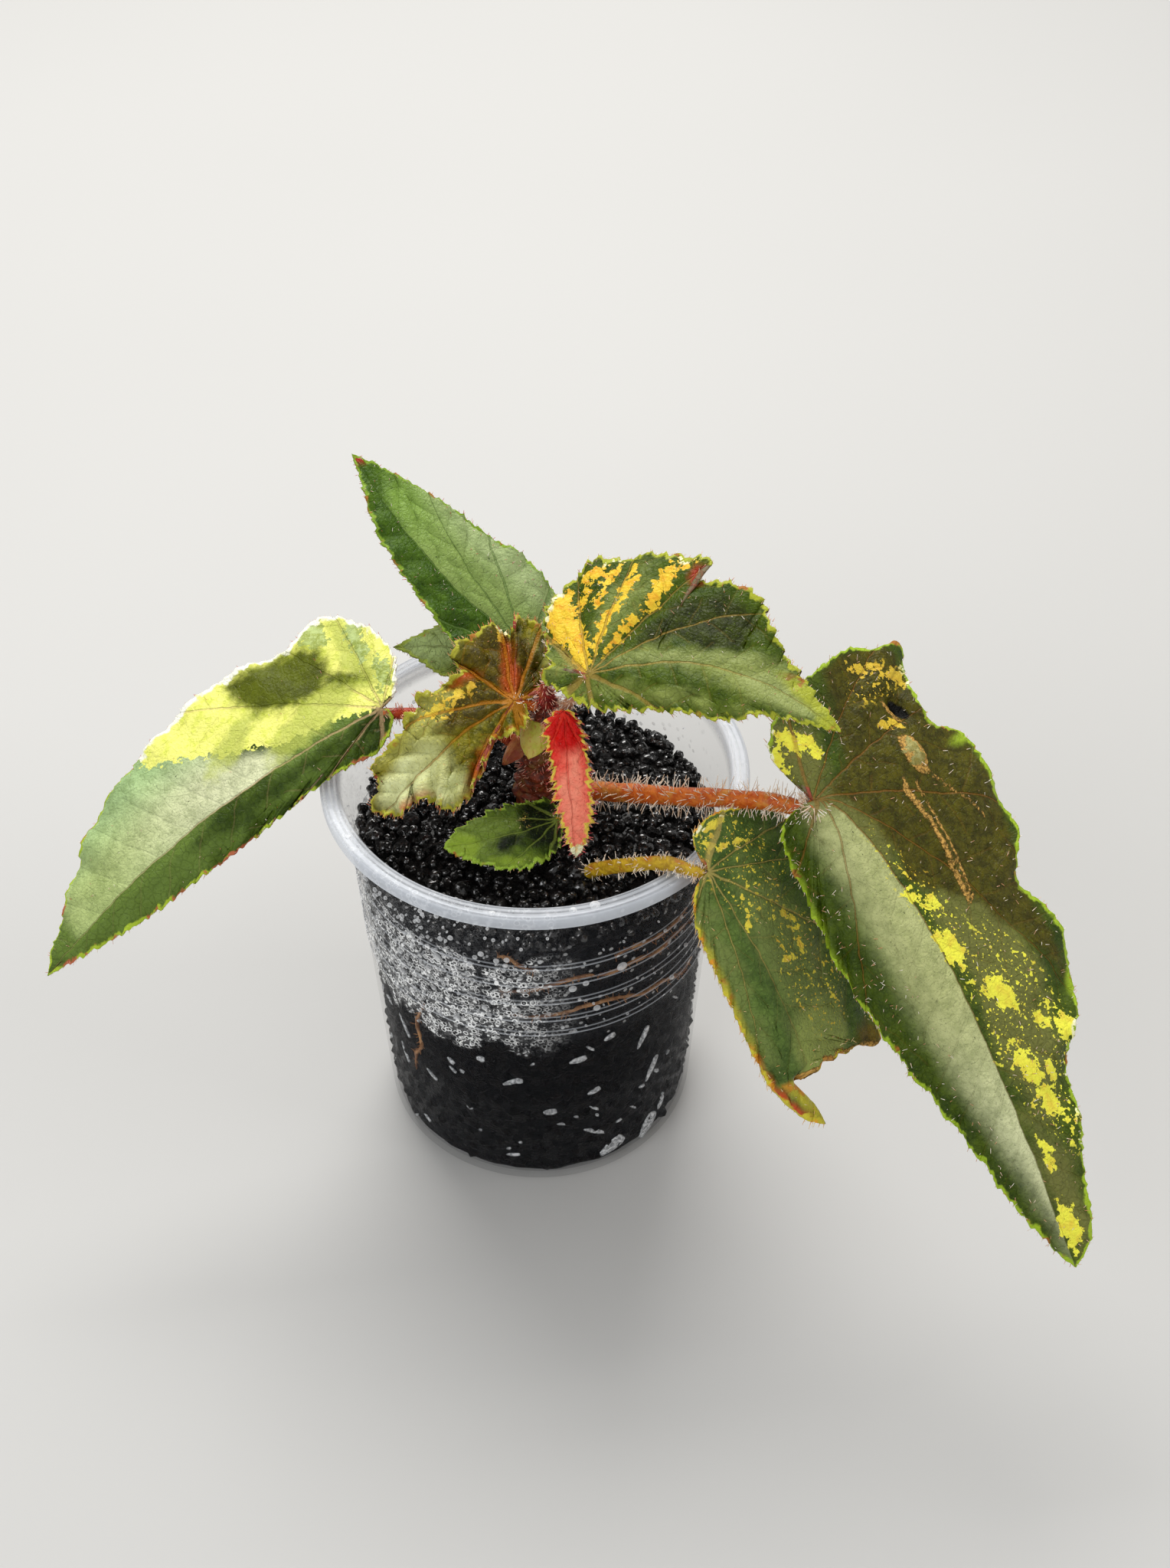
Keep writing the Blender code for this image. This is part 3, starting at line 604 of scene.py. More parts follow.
fieldNames = ("yellow", "silver", "fleck", "dry", "dull", "red", "isle", "haze", "lime", "paintedShadowPit", "fresh", "moss")
plainLook = {
    "dark": (0.045, 0.075, 0.004), "light": (0.120, 0.170, 0.012), "silver": (0.48, 0.52, 0.22), "yellow": (0.85, 0.78, 0.10),
    "gold": (0.78, 0.42, 0.05), "red": (0.50, 0.03, 0.02), "dry": (0.66, 0.38, 0.09), "dull": (0.07, 0.065, 0.010),
    "rim": (0.34, 0.52, 0.05), "rimWidth": (0.7, 0.7), "vein": (0.34, 0.20, 0.10), "veinShow": 0.5, "veinWidth": 0.45,
    "roughness": 0.36, "under": (0.20, 0.16, 0.08), "underVein": (0.30, 0.06, 0.03),
    "silverOneSide": False, "silverSoft": 1.6, "farFrom": (6.0, 16.0), "rimRed": (0.6, 0.66), "rimTooth": (0.40, 0.16, 0.03),
    "rimPale": (0.95, 0.95, 0.62), "haze": (0.20, 0.30, 0.20), "isleDark": (0.10, 0.14, 0.02), "isleLight": (0.30, 0.40, 0.16),
    "fresh": (0.45, 0.52, 0.10), "moss": (0.10, 0.14, 0.006),
}


def leafNet(tree, leaf, length, look):
    flat = addNode(tree, "UVMap", uv_map="flatMap").outputs[0]
    place = addNode(tree, "Mapping", {"Vector": flat, "Location": (-125, -125, 0), "Scale": (250, 250, 1)}).outputs[0]
    drift = addNode(tree, "TexNoise", {"Vector": place, "Scale": 0.22, "Detail": 2.0}).outputs["Color"]
    drift = addNode(tree, "VectorMath", {0: drift, 1: (0.5, 0.5, 0.5)}, operation="SUBTRACT").outputs[0]
    warped = addNode(tree, "VectorMath", {0: drift, 1: (1.4, 1.4, 0), 2: place}, operation="MULTIPLY_ADD").outputs[0]
    along, out, _ = addNode(tree, "SeparateXYZ", {0: warped}).outputs
    share = addNode(tree, "Clamp", {0: calc(tree, "DIVIDE", along, length)}).outputs[0]
    share = calc(tree, "POWER", share, leaf.get("ribPeak", 1.0))
    shift = calc(tree, "MULTIPLY", calc(tree, "SINE", calc(tree, "MULTIPLY", share, math.pi)), leaf["ribShift"])
    out = calc(tree, "SUBTRACT", out, shift)
    radius = calc(tree, "SQRT", calc(tree, "ADD", calc(tree, "POWER", calc(tree, "ABSOLUTE", along), 2.0),
                                    calc(tree, "POWER", calc(tree, "ABSOLUTE", out), 2.0)))
    grown = addNode(tree, "Clamp", {0: calc(tree, "DIVIDE", radius, length)}).outputs[0]
    angle = calc(tree, "ARCTAN2", out, along)
    angle = calc(tree, "DIVIDE", angle, calc(tree, "MULTIPLY_ADD", grown, -leaf["veinBend"], 1.0))
    turn = calc(tree, "MULTIPLY_ADD", angle, 1 / (2.8 * math.pi), 0.5)
    veins = sorted(leaf["veins"])
    curve = addNode(tree, "FloatCurve", {"Value": turn})
    line = curve.mapping.curves[0]
    marks = [((math.radians(vein) / (2.8 * math.pi)) + 0.5, (step + 1) / (len(veins) + 1)) for step, vein in enumerate(veins)]
    line.points[0].location, line.points[1].location = (0, 0), (1, 1)
    for mark in marks:
        line.points.new(*mark)
    for point in line.points:
        point.handle_type = "VECTOR"
    curve.mapping.update()
    index = calc(tree, "MULTIPLY", curve.outputs[0], float(len(veins) + 1))
    off = calc(tree, "SUBTRACT", index, calc(tree, "ROUND", index))
    main = calc(tree, "MULTIPLY", calc(tree, "MULTIPLY", calc(tree, "ABSOLUTE", off), radius), math.radians(leaf["veinGap"]))
    width = calc(tree, "MULTIPLY_ADD", grown, -0.65 * look["veinWidth"], look["veinWidth"])
    mainLine = calc(tree, "SUBTRACT", 1.0, fade(tree, calc(tree, "DIVIDE", main, width), 0.35, 1.0))
    flip = calc(tree, "MULTIPLY", calc(tree, "GREATER_THAN", off, 0.0), 0.5)
    phase = calc(tree, "ADD", calc(tree, "DIVIDE", calc(tree, "MULTIPLY_ADD", main, -0.75, radius), leaf["sideStep"]), flip)
    across = calc(tree, "ABSOLUTE", calc(tree, "SUBTRACT", calc(tree, "FRACT", phase), 0.5))
    side = calc(tree, "MULTIPLY", across, leaf["sideStep"] * 0.8)
    sideLine = calc(tree, "MULTIPLY", fade(tree, side, 0.1, 0.3, 1.0, 0.0), 0.75)
    net = cells(tree, warped, 1.7, "DISTANCE_TO_EDGE")
    netLine = fade(tree, net, 0.02, 0.09, 1.0, 0.0)
    return place, mainLine, sideLine, netLine, out, grown


def bladeMaterial(name, leaf, length):
    look = {**plainLook, **leaf["look"]}
    material, tree, shader = newMaterial(name, Specular_IOR_Level=0.15)
    place, mainLine, sideLine, netLine, out, grown = leafNet(tree, leaf, length, look)

    def field(attribute, jitter, size, soft=0.12, push=0.0):
        reach = addNode(tree, "Attribute", attribute_name=attribute).outputs["Fac"]
        rough = calc(tree, "SUBTRACT", cloud(tree, place, size, 4.0, 0.6), 0.5 - push)
        return fade(tree, calc(tree, "MULTIPLY_ADD", rough, jitter, reach), -soft, soft)

    broad = cloud(tree, place, 9.0, 3.0)
    mottle = cloud(tree, place, 2.4, 4.0, 0.65)
    grain = cloud(tree, place, 0.5, 3.0, 0.65)
    tone = calc(tree, "ADD", calc(tree, "MULTIPLY", broad, 0.5), calc(tree, "MULTIPLY", mottle, 0.5))
    colour = blendColour(tree, fade(tree, tone, 0.36, 0.64), look["dark"], look["light"])
    # a pale haze over the green: partly the leaf's own tone and partly painted sheen
    hazeAndSheenMask = field("haze", 9.0, 6.0, 2.4)
    colour = blendColour(tree, calc(tree, "MULTIPLY", hazeAndSheenMask, 0.8), colour, look["haze"])
    # painted sheen: a lighter band where the leaf reflects the light, blended to a tip tone and to a far tone away from
    # the midrib
    paintedSheenMask = field("silver", 3.0, 5.0, look["silverSoft"])
    if look["silverOneSide"]:
        paintedSheenMask = calc(tree, "MULTIPLY", paintedSheenMask, fade(tree, calc(tree, "MULTIPLY", out, look["silverOneSide"]), -0.2, 0.3))
    sheen = blendColour(tree, fade(tree, grown, 0.4, 0.8), look["silver"], look.get("silverTip", look["silver"]))
    beside = fade(tree, calc(tree, "ABSOLUTE", out), *look["farFrom"])
    sheen = blendColour(tree, beside, sheen, look.get("silverFar", look["silver"]))
    sheen = blendColour(tree, fade(tree, tone, 0.36, 0.62, 0.3, 0.0), sheen, look["light"])
    colour = blendColour(tree, calc(tree, "MULTIPLY", paintedSheenMask, fade(tree, mottle, 0.3, 0.6, 0.85, 1.0)), colour, sheen)
    # a dull dark tone: partly the leaf's own brownish colour and partly painted shade, near black where a leaf lies in
    # another's shadow
    dullAndShadeMask = field("dull", 5.0, 4.0, 1.4)
    colour = blendColour(tree, dullAndShadeMask, colour, blendColour(tree, fade(tree, mottle, 0.35, 0.65), look["dull"], tuple(0.45 * c for c in look["dull"])))
    bare = calc(tree, "SUBTRACT", 1.0, paintedSheenMask)
    net = calc(tree, "MULTIPLY", calc(tree, "MULTIPLY", netLine, bare), 0.16)
    colour = blendColour(tree, net, colour, tuple(0.4 * c for c in look["dark"]))
    colour = blendColour(tree, fade(tree, grain, 0.56, 0.78, 0.0, 0.55), colour, tuple(min(1, 2.2 * c + 0.012) for c in look["light"]))
    colour = blendColour(tree, fade(tree, grain, 0.28, 0.44, 0.5, 0.0), colour, tuple(0.5 * c for c in look["dark"]))
    pits = fade(tree, cells(tree, addNode(tree, "Mapping", {"Vector": place, "Scale": (0.7, 1.2, 1)}).outputs[0], 3.4), 0.035, 0.06, 0.75, 0.0)
    colour = blendColour(tree, pits, colour, tuple(0.5 * c for c in look["dark"]))
    yellowed = field("yellow", 6.5, 1.7, 0.12)
    strew = calc(tree, "MULTIPLY_ADD", calc(tree, "SUBTRACT", broad, 0.5), 0.5, cloud(tree, place, 1.3, 2.0, 0.5))
    dust = calc(tree, "MULTIPLY_ADD", calc(tree, "SUBTRACT", mottle, 0.5), 0.5, cloud(tree, place, 0.7, 1.0, 0.5))
    strewn = calc(tree, "MAXIMUM", fade(tree, strew, 0.63, 0.65), fade(tree, dust, 0.67, 0.69))
    yellowed = calc(tree, "MAXIMUM", yellowed, calc(tree, "MULTIPLY", field("fleck", 5.0, 5.0, 1.0), strewn))
    warm = blendColour(tree, fade(tree, mottle, 0.44, 0.7), look["yellow"], look["gold"])
    warm = blendColour(tree, fade(tree, grain, 0.5, 0.75, 0.0, 0.3), warm, tuple(0.7 * c for c in look["yellow"]))
    warm = blendColour(tree, calc(tree, "MULTIPLY", dullAndShadeMask, 0.75), warm, (0.62, 0.36, 0.03))
    colour = blendColour(tree, yellowed, colour, warm)
    reddened = field("red", 2.5, 2.5, 1.2)
    colour = blendColour(tree, reddened, colour, blendColour(tree, mottle, look["red"], tuple(0.5 * c for c in look["red"])))
    lines = calc(tree, "MAXIMUM", mainLine, calc(tree, "MULTIPLY", calc(tree, "MULTIPLY", sideLine, bare), 0.3))
    lines = calc(tree, "MULTIPLY", lines, calc(tree, "MULTIPLY_ADD", grown, -0.75 * look["veinShow"], look["veinShow"]))
    colour = blendColour(tree, lines, colour, look["vein"])
    dried = field("dry", 1.6, 0.9, 0.15)
    colour = blendColour(tree, dried, colour, blendColour(tree, fade(tree, grain, 0.4, 0.62), look["dry"], tuple(0.3 * c for c in look["dry"])))
    paler = field("fresh", 5.0, 4.0, 1.2)
    colour = blendColour(tree, calc(tree, "MULTIPLY", paler, 0.75), colour, look["fresh"])
    isles = field("isle", 7.0, 1.6, 0.25)
    colour = blendColour(tree, calc(tree, "MULTIPLY", isles, 0.85), colour, blendColour(tree, fade(tree, mottle, 0.4, 0.6), look["isleDark"], look["isleLight"]))
    for soft, push, part in ((3.0, 0.2, 3.2), (1.6, 0.0, 1.0)):
        mossy = field("moss", 5.0, 2.6, soft, push)
        shade = tuple(part * c for c in look["moss"])
        colour = blendColour(tree, calc(tree, "MULTIPLY", mossy, 0.9), colour, blendColour(tree, fade(tree, tone, 0.4, 0.6), shade, tuple(1.7 * c for c in shade)))
    # the pale margin band, widened by the lime patches: partly the leaf's own edge colour and partly painted backlight
    # shining through the thin margin
    limed = field("lime", 1.5, 4.0, 1.0)
    edge = addNode(tree, "Attribute", attribute_name="edge").outputs["Fac"]
    leftWidth, rightWidth = look["rimWidth"]
    width = calc(tree, "MULTIPLY_ADD", calc(tree, "GREATER_THAN", out, 0.0), leftWidth - rightWidth, rightWidth)
    width = calc(tree, "MAXIMUM", width, calc(tree, "MULTIPLY", yellowed, 1.2))
    patchy = calc(tree, "MULTIPLY", calc(tree, "SUBTRACT", cloud(tree, place, 3.2, 3.0), 0.5), 4.5)
    ragged = calc(tree, "ADD", calc(tree, "DIVIDE", edge, width), patchy)
    rim = fade(tree, ragged, 0.45, 1.3, 1.0, 0.0)
    rimColour = blendColour(tree, mottle, look["rim"], tuple(0.7 * c for c in look["rim"]))
    rimColour = blendColour(tree, fade(tree, cloud(tree, place, 4.5), *look["rimRed"]), rimColour, look["rimTooth"])
    rimColour = blendColour(tree, yellowed, rimColour, look["rimPale"])
    colour = blendColour(tree, calc(tree, "MAXIMUM", rim, calc(tree, "MULTIPLY", limed, 0.85)), colour, rimColour)
    # painted shadow: a near-black spot inside a dented fold where the light doesn't reach
    paintedShadowPit = field("paintedShadowPit", 0.6, 1.5, 0.2)
    colour = blendColour(tree, paintedShadowPit, colour, (0.002, 0.002, 0.001))
    tree.links.new(colour, shader.inputs["Base Color"])
    wax = calc(tree, "MULTIPLY_ADD", calc(tree, "SUBTRACT", mottle, 0.5), 0.5, look["roughness"])
    wax = calc(tree, "MULTIPLY_ADD", paintedSheenMask, -0.06, wax)
    tree.links.new(calc(tree, "MULTIPLY_ADD", dried, 0.3, wax), shader.inputs["Roughness"])
    relief = calc(tree, "MULTIPLY_ADD", netLine, -0.3, calc(tree, "MULTIPLY", cells(tree, place, 0.62), 0.7))
    relief = calc(tree, "MULTIPLY_ADD", sideLine, -0.5, calc(tree, "MULTIPLY_ADD", mainLine, -1.0, relief))
    relief = calc(tree, "MULTIPLY_ADD", dried, 1.5, calc(tree, "MULTIPLY_ADD", grain, 0.9, relief))
    addBump(tree, shader, relief, 0.22)
    return material


def undersideMaterial(name, leaf, length):
    look = {**plainLook, **leaf["look"]}
    material, tree, shader = newMaterial(name, Specular_IOR_Level=0.3)
    place, mainLine, sideLine, netLine, out, grown = leafNet(tree, leaf, length, look)
    mottle = cloud(tree, place, 3.0, 4.0, 0.6)
    grain = cloud(tree, place, 0.6, 2.0, 0.6)
    colour = blendColour(tree, fade(tree, mottle, 0.35, 0.65), look["under"], tuple(0.6 * c for c in look["under"]))
    colour = blendColour(tree, calc(tree, "MULTIPLY", netLine, 0.35), colour, look["underVein"])
    lines = calc(tree, "MAXIMUM", mainLine, calc(tree, "MULTIPLY", sideLine, 0.7))
    colour = blendColour(tree, lines, colour, look["underVein"])
    tree.links.new(colour, shader.inputs["Base Color"])
    tree.links.new(fade(tree, grain, 0.3, 0.7, 0.5, 0.72), shader.inputs["Roughness"])
    relief = calc(tree, "ADD", calc(tree, "ADD", mainLine, calc(tree, "MULTIPLY", sideLine, 0.7)), calc(tree, "MULTIPLY", netLine, 0.5))
    addBump(tree, shader, calc(tree, "MULTIPLY_ADD", grain, 0.4, relief), 0.3)
    return material


def hairMaterial(name, foot, tip):
    material, tree, shader = newMaterial(name, Roughness=0.45)
    place = objectPlace(tree)
    tone = cloud(tree, place, 1.5, 2.0)
    tree.links.new(blendColour(tree, fade(tree, tone, 0.38, 0.62), foot, tip), shader.inputs["Base Color"])
    addBump(tree, shader, cloud(tree, place, 0.3), 0.03)
    return material


# places, upward normals, flattened places and distances from the margin of points on a blade:
# across runs from -1 at the right margin to 1 at the left one, row from the joint to the tip
def bladePlaces(leaf, length, edges, across, row):
    share = np.abs(across)**0.9
    fan = leaf["fan"]
    foot = length * np.maximum(0.0, (row - fan) / (1 - fan))
    edge = np.zeros((len(row), 2))
    for side, (parts, alongs, outs) in edges.items():
        here = across > 0 if side > 0 else across <= 0
        edge[here, 0] = np.interp(row[here], parts, alongs)
        edge[here, 1] = np.interp(row[here], parts, outs)
    along = foot + (edge[:, 0] - foot) * share
    out = edge[:, 1] * share
    reach = np.hypot(edge[:, 0] - foot, edge[:, 1])
    rolled, dip = out, 0.0
    if "roll" in leaf:  # a tip rolled under: (along at its start, middle at the start, middle at the tip, radius, left end)
        start, middle, ending, curlRadius, leftEnd = leaf["roll"]
        bent = np.clip((along - start) / 3.0, 0, 1) * np.clip((leftEnd - out) / 1.5, 0, 1)
        axis = middle + (ending - middle) * np.clip((along - start) / (length - start), 0, 1)
        curl = (out - axis) / curlRadius
        rolled = out + bent * (axis + curlRadius * np.sin(curl) - out)
        dip = -bent * curlRadius * (1 - np.cos(curl))
    place, normal = sheetPlace(leaf, along, rolled)

    main, side, radius = veinDistances(leaf, length, along, out)
    taper = np.clip(1 - 0.5 * radius / length, 0.3, 1)
    lift = -leaf["furrow"] * taper * np.exp(-(main / 0.9)**2)
    lift -= 0.5 * leaf["furrow"] * np.exp(-(side / 0.7)**2) * np.clip(main / 1.5, 0, 1)
    lift += leaf["puff"] * np.clip(main / 4.0, 0, 1) * np.clip(side / 2.5, 0, 1)
    height, wave = leaf["waves"]
    arc = row * np.where(across > 0, 1.0, 1.13) * 2.2 * length / wave
    frill = np.array([noise.noise(Vector((a, s * 2.0, leaf["seed"]))) for a, s in zip(arc * 1.7, np.sign(across))])
    lift += height * share**2.5 * np.clip(reach / 8, 0, 1) * (0.75 * np.sin(arc * math.tau + 3 * across) + 1.2 * frill)
    for fa, fo, halfLong, halfWide, turn, rise in leaf.get("bulges", ()):
        spin = math.radians(turn)
        x = (along - fa) * math.cos(spin) + (out - fo) * math.sin(spin)
        y = (out - fo) * math.cos(spin) - (along - fa) * math.sin(spin)
        lift += rise * np.exp(-(x / halfLong)**2 - (y / halfWide)**2)
    near = np.clip(radius / 3.0, 0, 1)
    place = place + normal * (lift * near + dip)[:, None]
    for start, end, flopSide, fromOut, drop in leaf.get("flop", ()):  # margins that hang: (along from, along to, side, from out, drop)
        bell = np.sin(math.pi * np.clip((along - start) / (end - start), 0, 1))**2
        over = np.clip(out * flopSide - fromOut, 0, None)
        place = place - normal * (drop * bell * over**1.5 * 0.1)[:, None]
    return place, normal, along, out, reach * (1 - share)


def makeBlade(name, leaf):
    length = ribLine(leaf)[1][-1]
    cellsAcross, rows = leaf["cells"]
    grid = bmesh.new()
    bmesh.ops.create_grid(grid, x_segments=2 * cellsAcross, y_segments=rows, size=1.0)
    mesh = bpy.data.meshes.new(name)
    grid.to_mesh(mesh)
    grid.free()
    spots = np.empty(len(mesh.vertices) * 3)
    mesh.vertices.foreach_get("co", spots)
    spots = spots.reshape(-1, 3)
    across, row = -spots[:, 0], (spots[:, 1] + 1) / 2
    edges = {side: margin(leaf, side, length) for side in (1, -1)}
    place, normal, along, out, fromEdge = bladePlaces(leaf, length, edges, across, row)

    mesh.vertices.foreach_set("co", (place * mm).ravel())
    corners = np.empty(len(mesh.loops), int)
    mesh.loops.foreach_get("vertex_index", corners)
    flatMap = mesh.uv_layers.new(name="flatMap")
    flat = np.stack([(along + 125) / 250, (out + 125) / 250], -1)
    flatMap.data.foreach_set("uv", flat[corners].ravel())
    fields = {key: insideOf(leaf.get(key, ()), along, out) for key in fieldNames}
    fields["edge"] = fromEdge
    for key, values in fields.items():
        mesh.attributes.new(key, "FLOAT", "POINT").data.foreach_set("value", values.astype(np.float32))

    shape = bmesh.new()
    shape.from_mesh(mesh)
    bmesh.ops.remove_doubles(shape, verts=shape.verts, dist=0.00002)
    shape.to_mesh(mesh)
    shape.free()
    materials = [bladeMaterial(name + "Face", leaf, length), undersideMaterial(name + "Back", leaf, length)]
    piece = finishPiece(name + "_detailed", mesh, materials, [name])
    thickness = piece.modifiers.new("thickness", "SOLIDIFY")
    thickness.thickness = leaf.get("thick", 0.45) * mm
    thickness.offset = 0.0
    thickness.material_offset = 1
    thickness.material_offset_rim = 0
    return edges, length


# hairs along the margin and short bristles over the face
def bladeHairs(name, leaf, edges, length):
    dice = random.Random(leaf["seed"] * 13)
    hairs = {**{"margin": 1.1, "long": 0.9, "face": 120, "bristle": 0.9, "thick": 0.19, "foot": (0.62, 0.30, 0.14), "tip": (0.95, 0.90, 0.76)},
             **leaf.get("hairs", {})}
    spots = []
    baldSide, baldFrom = leaf.get("bald", (0, 0))
    for side, (parts, alongs, outs) in edges.items():
        arc = np.concatenate([[0], np.cumsum(np.hypot(np.diff(alongs), np.diff(outs)))])
        count = int(arc[-1] / hairs["margin"])
        for index in range(count):
            row = float(np.interp((index + dice.random()) / count * arc[-1], arc, parts))
            if side != baldSide or np.interp(row, parts, alongs) < baldFrom:
                spots.append((side, row, "margin"))
    for index in range(hairs["face"]):
        side, row, share = dice.choice((1, -1)), dice.uniform(0.04, 0.97), dice.random()**0.6 * 0.96
        wide = np.hypot(np.interp(row, *edges[side][:2]), np.interp(row, edges[side][0], edges[side][2]))
        if abs(np.interp(row, edges[side][0], edges[side][2])) > dice.uniform(0, 14) and share * wide > dice.uniform(0, 12):
            spots.append((side * share, row, "face"))
    across, row = np.array([spot[0] for spot in spots], float), np.array([spot[1] for spot in spots])
    ends, normals = bladePlaces(leaf, length, edges, across, row)[:2]
    inner = bladePlaces(leaf, length, edges, across * 0.93, row)[0]
    places = []
    for index, (_, _, kind) in enumerate(spots):
        upward, outward = Vector(normals[index]), Vector(unit(ends[index] - inner[index] + 1e-9))
        if kind == "margin":
            lean = outward + upward * dice.uniform(-0.5, 0.5) + Vector([dice.uniform(-0.35, 0.35) for _ in range(3)])
            size = hairs["long"] * dice.uniform(0.5, 1.35)
            places.append(standing(ends[index] - 0.15 * np.array(outward), lean, hairs["thick"], size, dice.uniform(0, 6)))
            continue
        lean = upward + Vector([dice.uniform(-0.9, 0.9) for _ in range(3)])
        if lean.dot(upward) > 0.2:
            places.append(standing(ends[index], lean, hairs["thick"] * 0.95, hairs["bristle"] * dice.uniform(0.7, 1.4), dice.uniform(0, 6)))
    material = hairMaterial(name + "HairTint", hairs["foot"], hairs["tip"])
    finishPiece(name + "_hairs", scatter(hairTemplate(0.35, 0.2), places), [material])


# the nine leaves; sizes in millimetres, patches in flattened (along, out) places

rightLeaf = {
    "joint": (55.3, -26.3, 110.5), "tip": (106.6, -89.1, 44.0), "bow": (0, 0, 5),
    "upJoint": (0.25, -0.62, 0.74), "upTip": (0.15, -0.5, 0.83), "leftFold": (-0.08, -0.006), "rightFold": (-0.5, -0.025),
    "fan": 0.3, "cells": (48, 300), "seed": 1, "teeth": (3.4, 0.55), "waves": (0.9, 22.0), "furrow": 0.25, "puff": 0.2,
    "left": [
        (-2.5, 0.8), (-7.5, -1.5), (-13, -1.5), (-18.5, 4), (-21.5, 14.5), (-22.8, 27), (-20, 32), (-19, 38), (-14, 36.5),
        (-7, 33.2), (-1, 33.2), (4, 38.8), (17.5, 37.2), (25, 37), (34, 30.5), (44, 32.8), (57.5, 30), (69.5, 19.7),
        (81, 15), (92.5, 10), (101.5, 6),
    ],
    "right": [
        (-0.6, -1.8), (0.6, -7.3), (5, -10.5), (16, -12.3), (32, -14.2), (46, -13.4), (58.5, -11.3), (75, -8), (88, -5.8), (100, -2.2),
    ],
    "veins": (-150, -100, -60, -28, 0, 25, 62, 105, 131, 165), "veinBend": 0.2, "veinGap": 34, "ribShift": 6.2, "ribPeak": 0.5, "sideStep": 9.0,
    "yellow": [
        [(34.6, 5.6), (35, 9.2), (40.6, 10.8), (43, 8.4), (41.4, 6)], (51, 12.8, 4.2, 2.4, 20), (63.8, 22, 2.6, 2.0, 0),
        (66.5, 10.2, 5.4, 1.8, 8), (74.0, 11.2, 4.0, 1.9, 0), (82.6, 5.2, 3.0, 1.0, 0), (97.4, 2.6, 4.6, 2.0, -10),
        (-12.0, 3.2, 3.8, 1.7, 30), (-9.8, 6.0, 4.2, 1.2, 15), (-11, -1.2, 4.0, 1.2, 0), (-18, 27, 3.6, 1.0, 65),
        (-13.6, 33, 3.0, 1.2, 80), (-11, 34.4, 2.4, 0.8, 60), (-5, 24.8, 2.2, 1.2, 60), (60, 18.5, 2.2, 1.2, 30), (69.5, 14.6, 2.0, 1.2, 0),
        (29.0, 9.5, 2.2, 1.2, 30), (25.6, 6.2, 1.6, 0.9, 0),
    ],
    "fleck": [(62, 15, 26, 10, 0), (-14, 27, 4, 7, 0), (28, 9, 16, 4, 10)],
    "silver": [[(1, -1), (5, 6), (30, 10), (55, 9), (80, 7), (106, 4), (107, 1.6), (100, 0.8), (90, -0.4), (78, -2.2), (65, -4.0), (52, -5.4), (40, -5.8),
                (29, -5.4), (18, -4.8), (8, -4.2)]], "haze": [(42, 16, 18, 8, 5), (60, 13, 16, 7, -10), (8, 5, 12, 6, 20), (-10, 2, 8, 6, 0), (90, 5, 14, 4, 0)],
    "dull": [[(0, 4), (-3, 11), (-22, 18), (-22, 34), (-8, 36), (2, 39), (20, 37), (38, 31), (57, 29), (48, 26.4), (41, 23), (33, 18), (28, 12.6), (23, 8.4),
              (17, 9), (9, 8.4)]],
    "dry": [
        [(4.6, 19.4), (8.0, 17.9), (16, 18.6), (24, 17.8), (33.2, 16.8), (33.6, 17.7), (24, 18.7), (16, 19.5), (8.6, 19.2)],
        [(6.5, 21.4), (16, 20.3), (25, 19.4), (32.6, 18.2), (32.8, 18.7), (25, 20.1), (16, 21.0), (6.8, 22.0)],
        [(0.2, 25.6), (7, 25.0), (14, 28.2), (20.4, 30.8), (20.2, 31.3), (13.8, 28.8), (7, 25.8)], (2.4, 24.6, 4.3, 2.3, 0),
        (-7.4, 26.6, 3.4, 0.7, 12),
    ],
    "bulges": [(2.4, 24.6, 4.0, 2.2, 0, 1.6), (20, 18.8, 14, 1.5, -3, 1.0), (24, 12, 16, 5, 10, -1.0), (12, 32, 7, 5, 0, 1.2), (-7, 28.8, 3.4, 1.7, 15, -1.8),
                (-7.4, 31.0, 4.0, 1.0, 15, 0.9), (40, 3, 14, 4, 0, 0.8)],
    "flop": [(60, 104, 1, 6, 0.06)],
    "isle": [(2.4, 24.6, 3.0, 1.5, 0)], "paintedShadowPit": [(-7.0, 28.8, 3.0, 1.3, 15)],
    "lime": [(4.5, 38.6, 1.2, 3.4, 0), (18, 38.4, 8, 1.2, -3), (46, 33.2, 5, 0.8, 0), (57.5, 30.4, 4, 1.6, -40),
             (20, -13.4, 16, 1.4, -8)],
    "look": {
        "dark": (0.024, 0.048, 0.001), "light": (0.072, 0.112, 0.006), "silver": (0.50, 0.53, 0.23), "silverOneSide": -1, "silverSoft": 3.4,
        "silverTip": (0.66, 0.69, 0.40), "silverFar": (0.22, 0.29, 0.09), "farFrom": (7.0, 17.0),
        "vein": (0.30, 0.12, 0.02), "veinShow": 0.5, "veinWidth": 0.36, "rim": (0.40, 0.58, 0.03), "rimWidth": (0.8, 0.9), "yellow": (0.88, 0.86, 0.07), "gold": (0.80, 0.62, 0.06),
        "dull": (0.092, 0.080, 0.003), "haze": (0.185, 0.185, 0.046), "isleDark": (0.22, 0.21, 0.05), "isleLight": (0.42, 0.42, 0.17),
    },
    "hairs": {"face": 560, "bristle": 1.3, "thick": 0.22},
}

